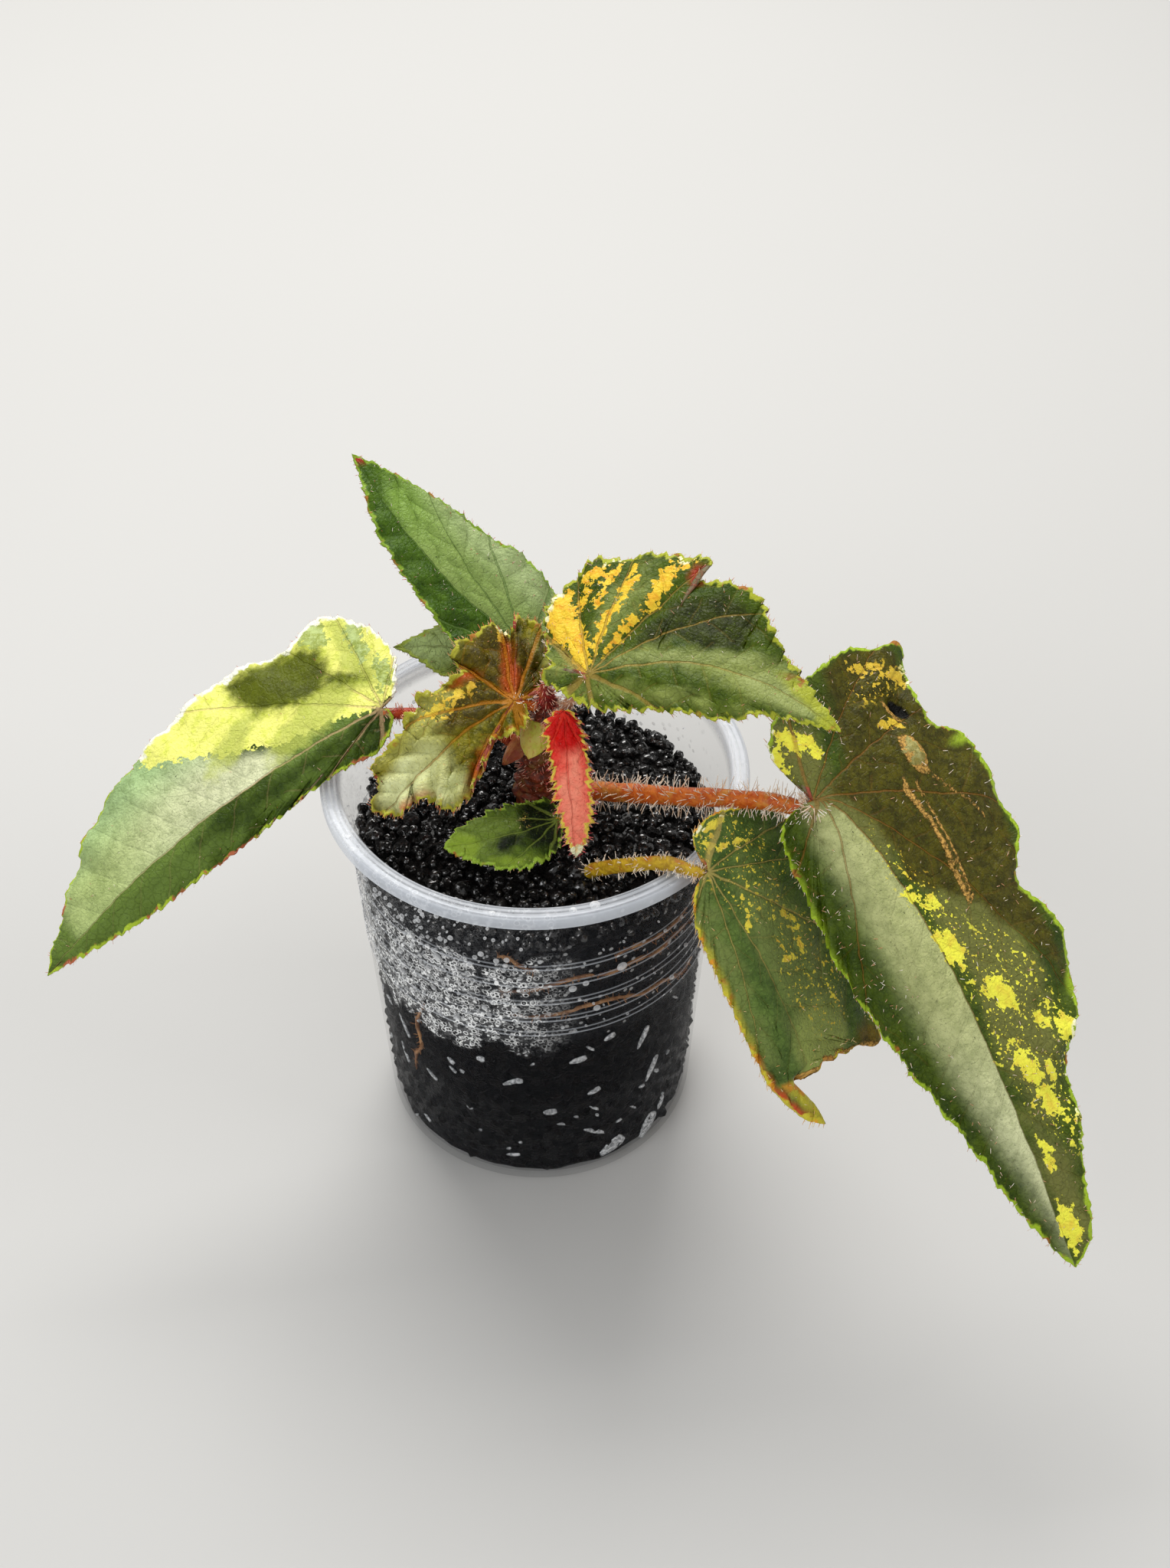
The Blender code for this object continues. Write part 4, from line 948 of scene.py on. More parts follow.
lowerRightLeaf = {
    "joint": (34.6, -34.6, 99.2), "tip": (59.3, -60.0, 52.0), "bow": (-1, 0, 3),
    "upJoint": (0.45, -0.57, 0.66), "upTip": (0.45, -0.5, 0.7), "leftFold": (-0.05, -0.004), "rightFold": (-0.35, -0.04),
    "fan": 0.34, "cells": (38, 200), "seed": 2, "teeth": (2.6, 0.4), "waves": (0.7, 16.0), "furrow": 0.4, "puff": 0.3,
    "left": [
        (-1.5, 0.6), (-5.5, 0.2), (-8.5, 2.5), (-9, 9), (-4.5, 19), (2, 24.5), (14, 23), (28, 22.2), (48, 22.4), (51.4, 22), (53.2, 20.4),
        (51.2, 17.4), (50.4, 14.6), (50.4, 12.8), (48.2, 10.8), (48.6, 8.6), (47.0, 6.4), (48.2, 4.2), (47.2, 1.6), (48.2, 0.5), (54, 0.4),
    ],
    "bald": (1, 46.4),
    "roll": (45.6, -5.6, -0.6, 2.2, 3.0),
    "right": [(0.8, -1.4), (2.4, -3.7), (6, -5.6), (12, -6.9), (27, -7.1), (42, -7.2), (52.5, -5.8)],
    "veins": (-140, -90, -48, -14, 0, 37, 72, 95, 135), "veinBend": 0.12, "veinGap": 33, "ribShift": 3.0, "sideStep": 8.0,
    "yellow": [
        (13.2, 3.4, 1.0, 0.7, 0), (16.8, 12.6, 2.4, 0.6, 30), (24.2, 12.8, 1.2, 0.4, 0), (10.6, 6.0, 2.4, 0.4, 35), (-3.8, 3.6, 2.0, 0.6, 60),
        (-2.2, 9.0, 2.2, 0.6, 80), (24.6, 8.8, 1.6, 0.6, 60), (-7.5, 5.5, 0.8, 3.4, 0),
    ],
    "fleck": [(4, 8, 12, 8, 20), (30, 12, 14, 7, 0)], "haze": [(24, 10, 20, 7, 5), (42, 6, 9, 6, 0), (20, -4.6, 18, 2, 0)],
    "silver": [(43.5, 8, 8, 7, 0)],
    "dull": [(51, 19, 3.5, 4, 0)], "dry": [[(54, 22), (52.4, 20), (50.4, 17), (49.8, 13.6), (47.8, 11), (48, 8.6), (46.6, 6.4), (47.6, 4.2), (46.8, 2), (50, 0), (52, 10), (56, 20)]], "red": [[(36, -9), (36, -7), (44, -6.6), (48, -5.4), (54, -3), (60, -0.6), (60, -9)]],
    "lime": [[(47, -4.6), (53, -2.4), (59, -0.2), (59, 1), (47, 1)], (20, -7, 14, 0.8, 0)],
    "look": {
        "dark": (0.046, 0.090, 0.014), "light": (0.115, 0.185, 0.034), "vein": (0.46, 0.36, 0.10), "veinShow": 0.75, "rim": (0.76, 0.66, 0.05), "rimWidth": (0.4, 1.2), "rimTooth": (0.80, 0.34, 0.03), "rimRed": (0.52, 0.6), "under": (0.60, 0.30, 0.05),
        "dull": (0.20, 0.14, 0.020), "haze": (0.20, 0.25, 0.065), "silver": (0.34, 0.40, 0.10), "red": (0.80, 0.09, 0.020), "yellow": (0.84, 0.72, 0.07), "gold": (0.70, 0.45, 0.05),
    },
    "hairs": {"face": 230, "margin": 0.85, "long": 1.5, "thick": 0.22, "bristle": 1.1, "foot": (0.80, 0.40, 0.12), "tip": (0.98, 0.86, 0.50)},
}

leftLeaf = {
    "joint": (-31.3, 1.8, 110.0), "tip": (-101.1, -32.1, 66.0), "bow": (0, 0, 4),
    "upJoint": (0, -0.2, 1), "upTip": (0, -0.3, 1), "leftFold": (-0.45, -0.01), "rightFold": (-0.05, -0.003),
    "fan": 0.3, "cells": (42, 250), "seed": 3, "teeth": (3.2, 0.6), "waves": (0.9, 20.0), "furrow": 0.2, "puff": 0.12,
    "left": [
        (-1.2, 0.9), (-0.8, 3.3), (1.5, 5.4), (6.2, 7.2), (12, 6.4), (20, 6), (37, 6.8), (51, 6.3), (66, 5.3), (79, 2.6),
    ],
    "right": [
        (-1.5, -0.6), (-4.5, -2.6), (-7.6, -9), (-7.8, -16), (-5, -24.5), (-0.5, -29.6), (4, -30.5), (10, -27.3), (20, -29.8),
        (30, -31.1), (44, -27.7), (55, -24.2), (66, -19.6), (73, -13.6), (80, -8),
    ],
    "veins": (-160, -130, -98, -71, -40, 0, 24, 60, 110), "veinBend": 0.15, "veinGap": 31, "ribShift": -2.8, "sideStep": 8.5,
    "yellow": [[
        (3, -1.4), (9, -3.6), (15.8, -5.2), (22.6, -6.4), (24.6, -8.8), (31.4, -12.4), (39, -17.6), (48.2, -23.6), (50, -29), (34, -34),
        (0, -34), (-9, -27), (-9, -8), (-5, -1),
    ]],
    "isle": [
        [(4.6, -31.2), (1, -29.2), (1.8, -23.2), (4.6, -22), (7, -25.6), (6.6, -29.2)],
        [(-3, -25.6), (-5.4, -22.4), (-4.2, -14.8), (-1.8, -13.2), (-1.8, -17.2), (-1.4, -20.8)],
        [(-4.2, -13.6), (-6.4, -9.2), (-5, -4.4), (-2.2, -4.8), (-2.6, -8.4)], [(-1.4, -5.6), (-2.2, -3.6), (-0.2, -2.4), (-0.2, -4)],
    ],
    "moss": [[(24.6, -28.4), (19, -27.6), (11.8, -26.2), (7.4, -25), (4.6, -21), (5.4, -16.4), (8, -13), (12, -12.8), (17, -14.4), (21.8, -17.6), (24.4, -22.4)],
             (4.6, -12.6, 3.6, 1.2, -35)],
    "fresh": [(12, -8, 13, 4.5, 15), (-1, -16, 3, 12, 0), (30, -14, 8, 3, 30)],
    "silver": [[(34, -15), (46, -26), (50, -32), (62, -28), (72, -19), (80, -9), (79, -2), (72, 2), (56, 3), (30, 3), (22, -3), (24, -6.4), (30, -10)]],
    "haze": [(64, -10, 30, 14, 5), (12, -3, 14, 3, 5), (60, 3.0, 20, 3.4, -3), (20, 3.6, 6, 0.8, 0)],
    "look": {
        "dark": (0.018, 0.040, 0.0004), "light": (0.046, 0.082, 0.001), "silver": (0.72, 0.75, 0.46), "silverOneSide": -1, "silverSoft": 2.2,
        "silverTip": (0.44, 0.54, 0.20),
        "silverFar": (0.40, 0.58, 0.26), "farFrom": (6.0, 22.0), "rimPale": (1.0, 1.0, 0.86), "rimTooth": (0.50, 0.14, 0.06), "rimRed": (0.54, 0.6),
        "yellow": (0.92, 0.92, 0.22), "gold": (0.72, 0.78, 0.11), "vein": (0.68, 0.44, 0.24), "veinShow": 0.5,
        "rim": (0.46, 0.62, 0.04), "rimWidth": (1.0, 0.35), "haze": (0.14, 0.22, 0.035), "isleDark": (0.24, 0.32, 0.06),
        "isleLight": (0.46, 0.58, 0.24), "fresh": (0.44, 0.50, 0.09), "moss": (0.050, 0.062, 0.001),
    },
    "hairs": {"face": 130, "long": 0.8, "thick": 0.17, "foot": (0.55, 0.10, 0.05)},
}

rearLeaf = {
    "joint": (-1.5, 19.8, 110.0), "tip": (-39.5, 53.9, 137.0), "bow": (0, 0, 3),
    "upJoint": (0.1, -0.45, 0.88), "upTip": (0.1, -0.45, 0.88), "leftFold": (0.12, 0.0), "rightFold": (0.0, 0.0),
    "fan": 0.3, "cells": (28, 170), "seed": 4, "teeth": (2.6, 0.55), "waves": (0.6, 14.0), "furrow": 0.45, "puff": 0.3,
    "left": [(-1.6, 0.8), (-3.5, 4.5), (0, 9.5), (6, 12), (16, 12.2), (26, 11.7), (40, 9.2), (53, 2.5)],
    "right": [(-1.6, -0.9), (-5.5, -5), (-3.5, -10), (2, -12.4), (16, -12.5), (24, -9.5), (35, -7), (50, -2.5)],
    "veins": (-150, -110, -62, -30, -14, 0, 26, 62, 112), "veinBend": 0.1, "veinGap": 26, "ribShift": 4.6, "sideStep": 7.0,
    "silver": [(24, -3.5, 24, 9, 4)], "haze": [(8, -6, 14, 7, 0)], "red": [(57, 0, 2.2, 1.5, 0)],
    "look": {
        "dark": (0.026, 0.068, 0.002), "light": (0.065, 0.135, 0.004), "silver": (0.25, 0.35, 0.09), "silverOneSide": -1, "silverFar": (0.40, 0.50, 0.22),
        "farFrom": (5.0, 13.0), "silverTip": (0.22, 0.36, 0.06),
        "vein": (0.13, 0.22, 0.05), "veinShow": 0.75, "rim": (0.26, 0.42, 0.03), "rimWidth": (0.6, 0.5), "haze": (0.36, 0.46, 0.17),
    },
    "hairs": {"face": 260, "bristle": 1.0, "foot": (0.5, 0.08, 0.05), "long": 0.8, "thick": 0.2},
}

upperRightLeaf = {
    "joint": (11.1, -5.1, 125.0), "tip": (59.8, -23.8, 126.0), "bow": (0, 0, 4),
    "upJoint": (0.1, -0.4, 0.9), "upTip": (0.1, -0.4, 0.9), "leftFold": (0.0, 0.0), "rightFold": (-0.3, -0.02),
    "fan": 0.42, "cells": (34, 220), "seed": 5, "teeth": (3.0, 1.1), "waves": (0.8, 13.0), "furrow": 0.4, "puff": 0.35,
    "left": [
        (-3.2, 1.2), (-7.5, 1.6), (-10.6, 5.5), (-12, 10), (-12.7, 14.6), (-10.5, 20), (-4.7, 26), (1, 27), (13.5, 28.4), (18, 28),
        (16, 23.6), (28, 22.6), (32.7, 16), (39, 9.6), (46, 4.6), (51.4, 1.4),
    ],
    "right": [(-4.6, 0.2), (-9.6, 1.4), (-10.4, -0.6), (-7.4, -2.4), (-3.4, -4.8), (0.6, -6.2), (5.4, -7.0), (11.5, -6.6), (23, -5.9), (30, -5.6), (38, -2.4)],
    "veins": (-140, -80, -32, 0, 26, 54, 84, 112, 142), "veinBend": 0.05, "veinGap": 29, "ribShift": 4.6, "sideStep": 6.5,
    "yellow": [
        [(-0.2, 0.4), (-3, 2), (-6.2, 6.4), (-9.8, 7.6), (-12.6, 11.4), (-12.4, 16.4), (-10.2, 20.4), (-8.2, 19.6), (-6.6, 14.4), (-4.6, 12),
         (-1, 7.2), (-0.2, 3.6)],
        [(0.6, 3.2), (-0.6, 7.2), (0.2, 11.6), (1.8, 15.2), (3.4, 18.8), (4.2, 23.6), (5.8, 22.8), (4.6, 18), (3, 13.2), (1.4, 8)],
        [(-2.2, 15.2), (-1.4, 19.6), (-1, 24), (1.8, 26), (0.2, 21.6), (-0.2, 17.6), (-1, 14.4)],
        [(8.2, 15.2), (8.6, 19.6), (9.8, 24.4), (11.8, 27.6), (12.2, 22.8), (11, 19.2), (9.8, 15.2)],
        [(-6.6, 21.6), (-3.8, 24.8), (-0.6, 25.6), (-2.6, 22.8), (-4.2, 19.6)],
        (5.4, 10.5, 4.5, 0.7, 62), (3.6, 21, 3.4, 0.8, 75), (-5.6, 16.4, 2.8, 1.2, 60), (13.4, 26, 2.0, 0.8, 40),
    ],
    "haze": [(34, 4, 13, 4, -5), (-8, 1.6, 4, 2.4, 20), (11, 6.0, 4, 1.6, 30), (3.4, 16, 3, 8, -20), (16, -3.4, 12, 1, 0)],
    "silver": [(40, 3.0, 10, 3.0, -4), (20, 5.6, 14, 1.2, 10)], "dull": [(22, 14, 9, 6, 0), (13, 10.6, 5, 3, 30)], "lime": [(45, 4.2, 6, 1.8, -20), (50, 0.6, 2.4, 1.8, 0)], "red": [(16.5, 24.5, 1.6, 2.2, 0)],
    "bulges": [(8, 12, 14, 1.6, 56, -1.0), (2, 16, 10, 4, 75, 0.8)],
    "look": {
        "dark": (0.028, 0.056, 0.001), "light": (0.080, 0.125, 0.004), "yellow": (0.88, 0.60, 0.04), "gold": (0.82, 0.36, 0.02), "silver": (0.34, 0.39, 0.13),
        "vein": (0.38, 0.25, 0.05), "veinShow": 0.7, "rim": (0.48, 0.52, 0.04), "rimWidth": (0.8, 0.9), "haze": (0.26, 0.31, 0.07),
        "dull": (0.036, 0.050, 0.001),
    },
    "hairs": {"face": 330, "margin": 0.9, "foot": (0.6, 0.22, 0.08), "thick": 0.2, "bristle": 1.1},
}

crinkledLeaf = {
    "joint": (-3.7, -2.8, 116.0), "tip": (-33.0, -16.4, 98.0), "bow": (0, 0, 5),
    "upJoint": (-0.1, -0.4, 0.9), "upTip": (-0.2, -0.3, 0.93), "leftFold": (-0.15, -0.01), "rightFold": (0.0, 0.0),
    "fan": 0.5, "cells": (34, 240), "seed": 6, "teeth": (1.9, 0.9), "waves": (1.7, 8.0), "furrow": 0.8, "puff": 0.7,
    "left": [
        (-2.2, 1.1), (-1.6, 3.9), (2, 6.4), (8.4, 6), (13.3, 9.6), (20.3, 12.7), (24.8, 12.7), (26.6, 8.4), (30.2, 5.4), (33.3, 6),
    ],
    "right": [
        (-1.4, -0.4), (-4.4, -0.9), (-7.8, -2.4), (-10.2, -4.8), (-11.6, -8.4), (-11.8, -12), (-11.2, -15), (-9.8, -18.2), (-7.6, -18.6), (-5.6, -15.2),
        (-3.2, -17.8), (-0.4, -17.8), (2.8, -17.2), (5.0, -16.4), (6.8, -14), (5.6, -11.4), (7.4, -9.6), (11, -10.4), (13.4, -9.6), (16.6, -11.2),
        (16.2, -8.4), (20.6, -9.0), (22, -7.2), (27, -6.4), (31.8, -6.6), (32.6, -3),
    ],
    "veins": (-165, -128, -103, -62, -22, 4, 32, 75), "veinBend": 0.0, "veinGap": 32, "ribShift": 1.0, "sideStep": 5.5,
    "silver": [(26, 3.6, 8.5, 6, 10), (22, 9, 4.5, 3.2, 0), (31, 1, 4, 3, 0)], "haze": [[(10, -6.5), (16, -9.5), (21, -8), (30, -5.5), (31, 0), (22, 2), (16, 0.5), (12, -3)], (-9, -7, 3, 4, 0)],
    "yellow": [(14.6, -6.2, 2.4, 0.9, 0), (-3.6, -16.2, 2.8, 0.9, 70), (9, -6.2, 2.6, 0.8, 10)], "fleck": [(14, -6, 7, 2.6, 0)],
    "dull": [(-1, -8, 8, 9, 0), (7, -2, 9, 4, 0)],
    "red": [[(-3.4, -15.6), (-4.4, -14), (-3.4, -8), (-3.8, -5), (-0.6, -0.6), (1.8, -2.8), (-0.4, -8.4)], (29.8, 6.2, 3.4, 1.2, -10), (13.8, 9.4, 5, 1.2, 30),
            (6.0, 6.8, 5.4, 1.5, 5), (7, -8.6, 2.4, 1.0, 0)],
    "bulges": [(26.5, 5.5, 3.0, 2.2, 0, 1.0), (20, -4, 3, 3, 0, 1.2), (3, -12, 3, 4, 0, 1.2), (-6, -11, 2.4, 3, 0, 1.2)],
    "look": {
        "dark": (0.055, 0.055, 0.001), "light": (0.260, 0.225, 0.012), "silver": (0.52, 0.55, 0.22), "silverTip": (0.74, 0.78, 0.40), "yellow": (0.86, 0.66, 0.07),
        "gold": (0.70, 0.38, 0.03), "vein": (0.50, 0.19, 0.012), "veinShow": 0.75, "veinWidth": 0.75, "rim": (0.52, 0.50, 0.05), "rimWidth": (0.8, 0.8),
        "dull": (0.105, 0.076, 0.002), "red": (0.52, 0.09, 0.010), "haze": (0.38, 0.38, 0.09), "under": (0.42, 0.07, 0.04),
    },
    "hairs": {"face": 240, "margin": 0.7, "long": 1.1, "thick": 0.16, "foot": (0.75, 0.16, 0.05), "tip": (0.9, 0.6, 0.3)},
}

smallRearLeaf = {
    "joint": (-8.0, 21.5, 109.0), "tip": (-30.3, 22.8, 109.0), "bow": (0, 0, 2),
    "upJoint": (0, -0.4, 0.9), "upTip": (0, -0.4, 0.9), "leftFold": (-0.1, 0.0), "rightFold": (-0.1, 0.0),
    "fan": 0.3, "cells": (18, 110), "seed": 7, "teeth": (2.2, 0.5), "waves": (0.5, 9.0), "furrow": 0.4, "puff": 0.3,
    "left": [(-1, 1), (-1.5, 4), (1, 6.8), (7.3, 8), (12.8, 7), (17.3, 3.7)],
    "right": [(-1, -1), (-1, -3), (2.9, -6.6), (7.5, -6.4), (12, -4.7), (17, -2)],
    "veins": (-120, -60, -28, 0, 28, 60, 120), "veinBend": 0.1, "veinGap": 30, "ribShift": 1.2, "sideStep": 4.5,
    "haze": [(14, 1, 9, 4.5, 0)],
    "look": {
        "dark": (0.075, 0.115, 0.006), "light": (0.190, 0.260, 0.030), "vein": (0.35, 0.40, 0.12), "veinShow": 0.5, "haze": (0.40, 0.52, 0.20),
        "rim": (0.36, 0.46, 0.06),
    },
    "hairs": {"face": 30, "long": 0.6},
}

redYoungLeaf = {
    "joint": (6.2, -5.2, 115.4), "tip": (8.6, -19.8, 88.2), "bow": (0, -3, 0),
    "upJoint": (0, -1, 0.3), "upTip": (0, -1, 0.2), "leftFold": (-0.25, 0.0), "rightFold": (-0.25, 0.0),
    "fan": 0.15, "cells": (20, 150), "seed": 8, "teeth": (2.3, 1.2), "waves": (0.5, 6.0), "furrow": 0.5, "puff": 0.35, "thick": 0.4,
    "left": [(-0.3, 1), (0.6, 2), (3, 3), (8, 4.1), (16, 4.5), (23.6, 3.8), (29, 1.9)],
    "right": [(-0.3, -1), (0.6, -2.6), (3.6, -4.1), (9, -3.6), (17, -2.6), (24, -1.9), (29, -1)],
    "veins": (-60, -24, 0, 24, 60), "veinBend": 0.2, "veinGap": 26, "ribShift": 0.0, "sideStep": 3.6,
    "silver": [(20, 0.6, 9, 3, 0), (12, 1.5, 8, 1.6, 0)], "red": [(3, 0.4, 5.5, 4, 0), (6, -3.4, 5, 1.2, 5)], "yellow": [(31.5, 0, 3.4, 3, 0)],
    "look": {
        "dark": (0.86, 0.040, 0.026), "light": (0.98, 0.130, 0.085), "silver": (1.0, 0.32, 0.21), "red": (0.82, 0.006, 0.004),
        "yellow": (0.92, 0.74, 0.34), "gold": (0.92, 0.50, 0.20), "vein": (0.80, 0.04, 0.02), "veinShow": 0.6, "rimRed": (0.8, 0.9), "rim": (0.95, 0.72, 0.10), "rimWidth": (0.8, 0.8),
        "under": (0.5, 0.08, 0.05), "underVein": (0.45, 0.02, 0.02), "haze": (0.8, 0.2, 0.15),
    },
    "hairs": {"face": 60, "margin": 0.5, "long": 1.1, "foot": (0.72, 0.05, 0.08), "tip": (0.92, 0.45, 0.32)},
}

smallLowLeaf = {
    "joint": (4.9, -8.9, 88.6), "tip": (-18.6, -17.2, 88.6), "bow": (0, 0, 1.6),
    "upJoint": (0, -0.1, 1), "upTip": (0, -0.1, 1), "leftFold": (-0.06, 0.0), "rightFold": (-0.06, 0.0),
    "fan": 0.25, "cells": (22, 130), "seed": 9, "teeth": (2.3, 0.95), "waves": (0.5, 8.0), "furrow": 0.4, "puff": 0.3,
    "left": [(-0.9, 1), (0, 3), (2.3, 7), (8.5, 10.8), (13.4, 10.6), (19, 7.5), (22.8, 3.5)],
    "right": [(-1, -0.9), (-1.4, -3), (0, -6.2), (4, -6), (10.3, -5.5), (19, -3.7), (23, -1.8)],
    "veins": (-120, -55, -24, 0, 28, 60, 115), "veinBend": 0.1, "veinGap": 30, "ribShift": 2.2, "sideStep": 4.6,
    "haze": [(17, 2, 9, 6, 8), (9, 1, 3, 2, 0)], "fleck": [(8.6, -0.6, 2.4, 1.6, 0)], "fresh": [(22, 2, 4, 4, 0), (13, 9, 6, 1.2, -10)], "dull": [(3, 1, 6, 7, 0), (12, 4, 4, 2, 20)],
    "look": {
        "dark": (0.020, 0.046, 0.001), "light": (0.080, 0.135, 0.006), "vein": (0.24, 0.32, 0.05), "veinShow": 0.7, "haze": (0.16, 0.24, 0.03),
        "fresh": (0.26, 0.38, 0.03), "dull": (0.004, 0.012, 0.0004),
        "yellow": (0.45, 0.50, 0.30), "gold": (0.36, 0.42, 0.22), "rim": (0.34, 0.52, 0.05), "rimWidth": (0.9, 0.6),
    },
    "hairs": {"face": 30, "long": 0.6, "tip": (0.8, 0.75, 0.5)},
}


# stem, stalks and their hairs

stalks = {
    "right_leaf": ([(5.9, 1.8, 87.3, 2.1), (16.3, -3.6, 91.5, 2.0), (31.7, -14.3, 100.2, 1.9), (46.4, -22, 106.4, 1.8), (54.2, -25.6, 107.4, 1.6),
                    (55.6, -26.2, 109.6, 1.2)], "orange", 760, 3.1),
    "lower_right_leaf": ([(11.4, -17.8, 80.5, 1.5), (12.4, -20.6, 85.6, 1.5), (20.6, -27.6, 94.2, 1.45), (26.9, -31.2, 98.0, 1.4),
                          (31.0, -33.3, 98.4, 1.3), (34.0, -34.3, 98.4, 1.0)], "olive", 300, 1.7),
    "left_leaf": ([(-3.3, 3.2, 98.4, 1.5), (-11.5, 5.0, 103.6, 1.4), (-21.8, 3.4, 107.0, 1.3), (-31.2, 1.6, 108.8, 1.1)], "crimson", 260, 1.5),
    "rear_leaf": ([(2.3, 6.2, 100.5, 1.3), (1.4, 12.4, 105.0, 1.2), (-1.4, 19.9, 109.2, 1.0)], "crimson", 120, 1.2),
    "upper_right_leaf": ([(6.2, -0.6, 112.3, 1.2), (8.8, -3.2, 118.4, 1.2), (11.2, -4.9, 124.4, 1.0)], "pink", 170, 1.6),
    "crinkled_leaf": ([(0.4, -0.9, 112.9, 1.1), (-2.2, -1.6, 114.3, 1.0), (-4.0, -2.6, 115.4, 0.9)], "orange", 70, 1.3),
    "small_rear_leaf": ([(-2.2, 4.9, 101.0, 1.0), (-5.9, 14.0, 103.2, 0.9), (-8.4, 21.6, 108.4, 0.8)], "crimson", 60, 1.0),
    "red_young_leaf": ([(3.4, -3.9, 109.4, 0.9), (4.6, -4.4, 112.0, 0.9), (6.0, -4.8, 115.0, 0.7)], "crimson", 60, 1.2),
    "small_low_leaf": ([(1.8, -3.4, 85.6, 0.9), (3.4, -6.2, 87.0, 0.9), (4.8, -8.9, 88.2, 0.8)], "olive", 50, 1.0),
}
stemRoute = [(0.2, 1.8, 68.0, 3.6), (0.2, 1.8, 85.0, 4.4), (0.6, 1.6, 91.0, 4.0), (1.4, 1.2, 98.0, 4.2), (2.4, 0.9, 104.5, 3.8), (3.4, 0.6, 111.0, 3.2)]
budRoute = [(2.6, 0.6, 111.6, 1.6), (2.6, 0.2, 114.4, 1.9), (2.2, -0.4, 118.6, 0.5)]

stalkTints = {
    "orange": ((0.44, 0.065, 0.004), (0.62, 0.16, 0.015), (0.56, 0.25, 0.04)),
    "olive": ((0.34, 0.19, 0.006), (0.58, 0.38, 0.016), (0.48, 0.14, 0.012)),
    "crimson": ((0.34, 0.022, 0.008), (0.50, 0.07, 0.015), (0.45, 0.16, 0.03)),
    "pink": ((0.42, 0.20, 0.11), (0.58, 0.33, 0.20), (0.40, 0.10, 0.06)),
    "stem": ((0.05, 0.008, 0.003), (0.22, 0.035, 0.010), (0.20, 0.10, 0.02)),
    "bud": ((0.12, 0.006, 0.006), (0.30, 0.02, 0.016), (0.38, 0.09, 0.03)),
}


def stalkMaterial(tint):
    deep, light, patch = stalkTints[tint]
    material, tree, shader = newMaterial(tint + "Stalk", Specular_IOR_Level=0.3)
    place = objectPlace(tree)
    stretched = addNode(tree, "Mapping", {"Vector": place, "Scale": (0.45, 0.45, 0.9)}).outputs[0]
    streaks = cloud(tree, stretched, 0.9, 4.0, 0.6, 0.4)
    spots = cloud(tree, place, 0.45, 2.0, 0.5)
    colour = blendColour(tree, fade(tree, streaks, 0.34, 0.66), deep, light)
    colour = blendColour(tree, fade(tree, cloud(tree, place, 4.0), 0.5, 0.68, 0.0, 0.8), colour, patch)
    colour = blendColour(tree, fade(tree, spots, 0.62, 0.74, 0.0, 0.6), colour, tuple(min(1, 1.5 * c + 0.05) for c in light))
    tree.links.new(colour, shader.inputs["Base Color"])
    tree.links.new(fade(tree, streaks, 0.3, 0.7, 0.3, 0.55), shader.inputs["Roughness"])
    addBump(tree, shader, calc(tree, "ADD", streaks, calc(tree, "MULTIPLY", spots, 0.6)), 0.25)
    return material


# frames along a path: places, directions ahead and one side of each
def pathFrames(path):
    ahead = unit(np.gradient(path[:, :3], axis=0))
    side = np.cross(ahead, (0.13, 0.91, 0.4))
    side = unit(side)
    return path[:, :3], ahead, side, np.cross(ahead, side)


# a tube along (x, y, z, radius) points: a capped cone whose long edges are cut, then led along the path
def makeTube(name, route, sides, steps, ripple, material, nodes=(), seed=0):
    path = smoothPath(route, steps)
    places, ahead, side, other = pathFrames(path)
    shape = bmesh.new()
    bmesh.ops.create_cone(shape, cap_ends=True, cap_tris=True, segments=sides, radius1=1, radius2=1, depth=1)
    long = [edge for edge in shape.edges if abs(edge.verts[0].co.z - edge.verts[1].co.z) > 0.5]
    bmesh.ops.subdivide_edges(shape, edges=long, cuts=len(path) - 2, use_grid_fill=True)
    for vert in shape.verts:
        mark = min(max(vert.co.z + 0.5, 0.0), 1.0) * (len(path) - 1)
        index = int(round(mark))
        radius = path[index, 3] * mm * (1 + ripple * noise.noise(Vector((vert.co.x * 1.6, vert.co.y * 1.6 + seed, mark * 0.45))))
        if math.hypot(vert.co.x, vert.co.y) < 0.5:
            vert.co = Vector(places[index] + ahead[index] * (0.35 if index else -0.35) * path[index, 3]) * mm
            continue
        vert.co = Vector(places[index]) * mm + Vector(side[index] * vert.co.x + other[index] * vert.co.y) * radius
    bmesh.ops.recalc_face_normals(shape, faces=shape.faces)
    mesh = bpy.data.meshes.new(name)
    shape.to_mesh(mesh)
    shape.free()
    return finishPiece(name, mesh, [material], nodes)


def tubeHairs(name, route, count, length, material, bend=0.5, skip=0.0):
    dice = random.Random(sum(map(ord, name)))
    path = smoothPath(route, 10)
    places, ahead, side, other = pathFrames(path)
    spots = []
    for index in range(count):
        mark = (skip + (1 - skip) * dice.random()) * (len(path) - 1)
        low = min(int(mark), len(path) - 2)
        t = mark - low
        turn = dice.uniform(0, math.tau)
        outward = side[low] * math.cos(turn) + other[low] * math.sin(turn)
        centre = places[low] * (1 - t) + places[low + 1] * t
        radius = path[low, 3] * (1 - t) + path[low + 1, 3] * t
        lean = outward + ahead[low] * dice.uniform(-0.35, 0.55) + np.array([dice.uniform(-0.3, 0.3) for _ in range(3)])
        spots.append(standing(centre + outward * radius * 0.93, lean, 0.21, length * dice.uniform(0.55, 1.35), dice.uniform(0, 6)))
    finishPiece(name, scatter(hairTemplate(bend, 0.3), spots), [material])


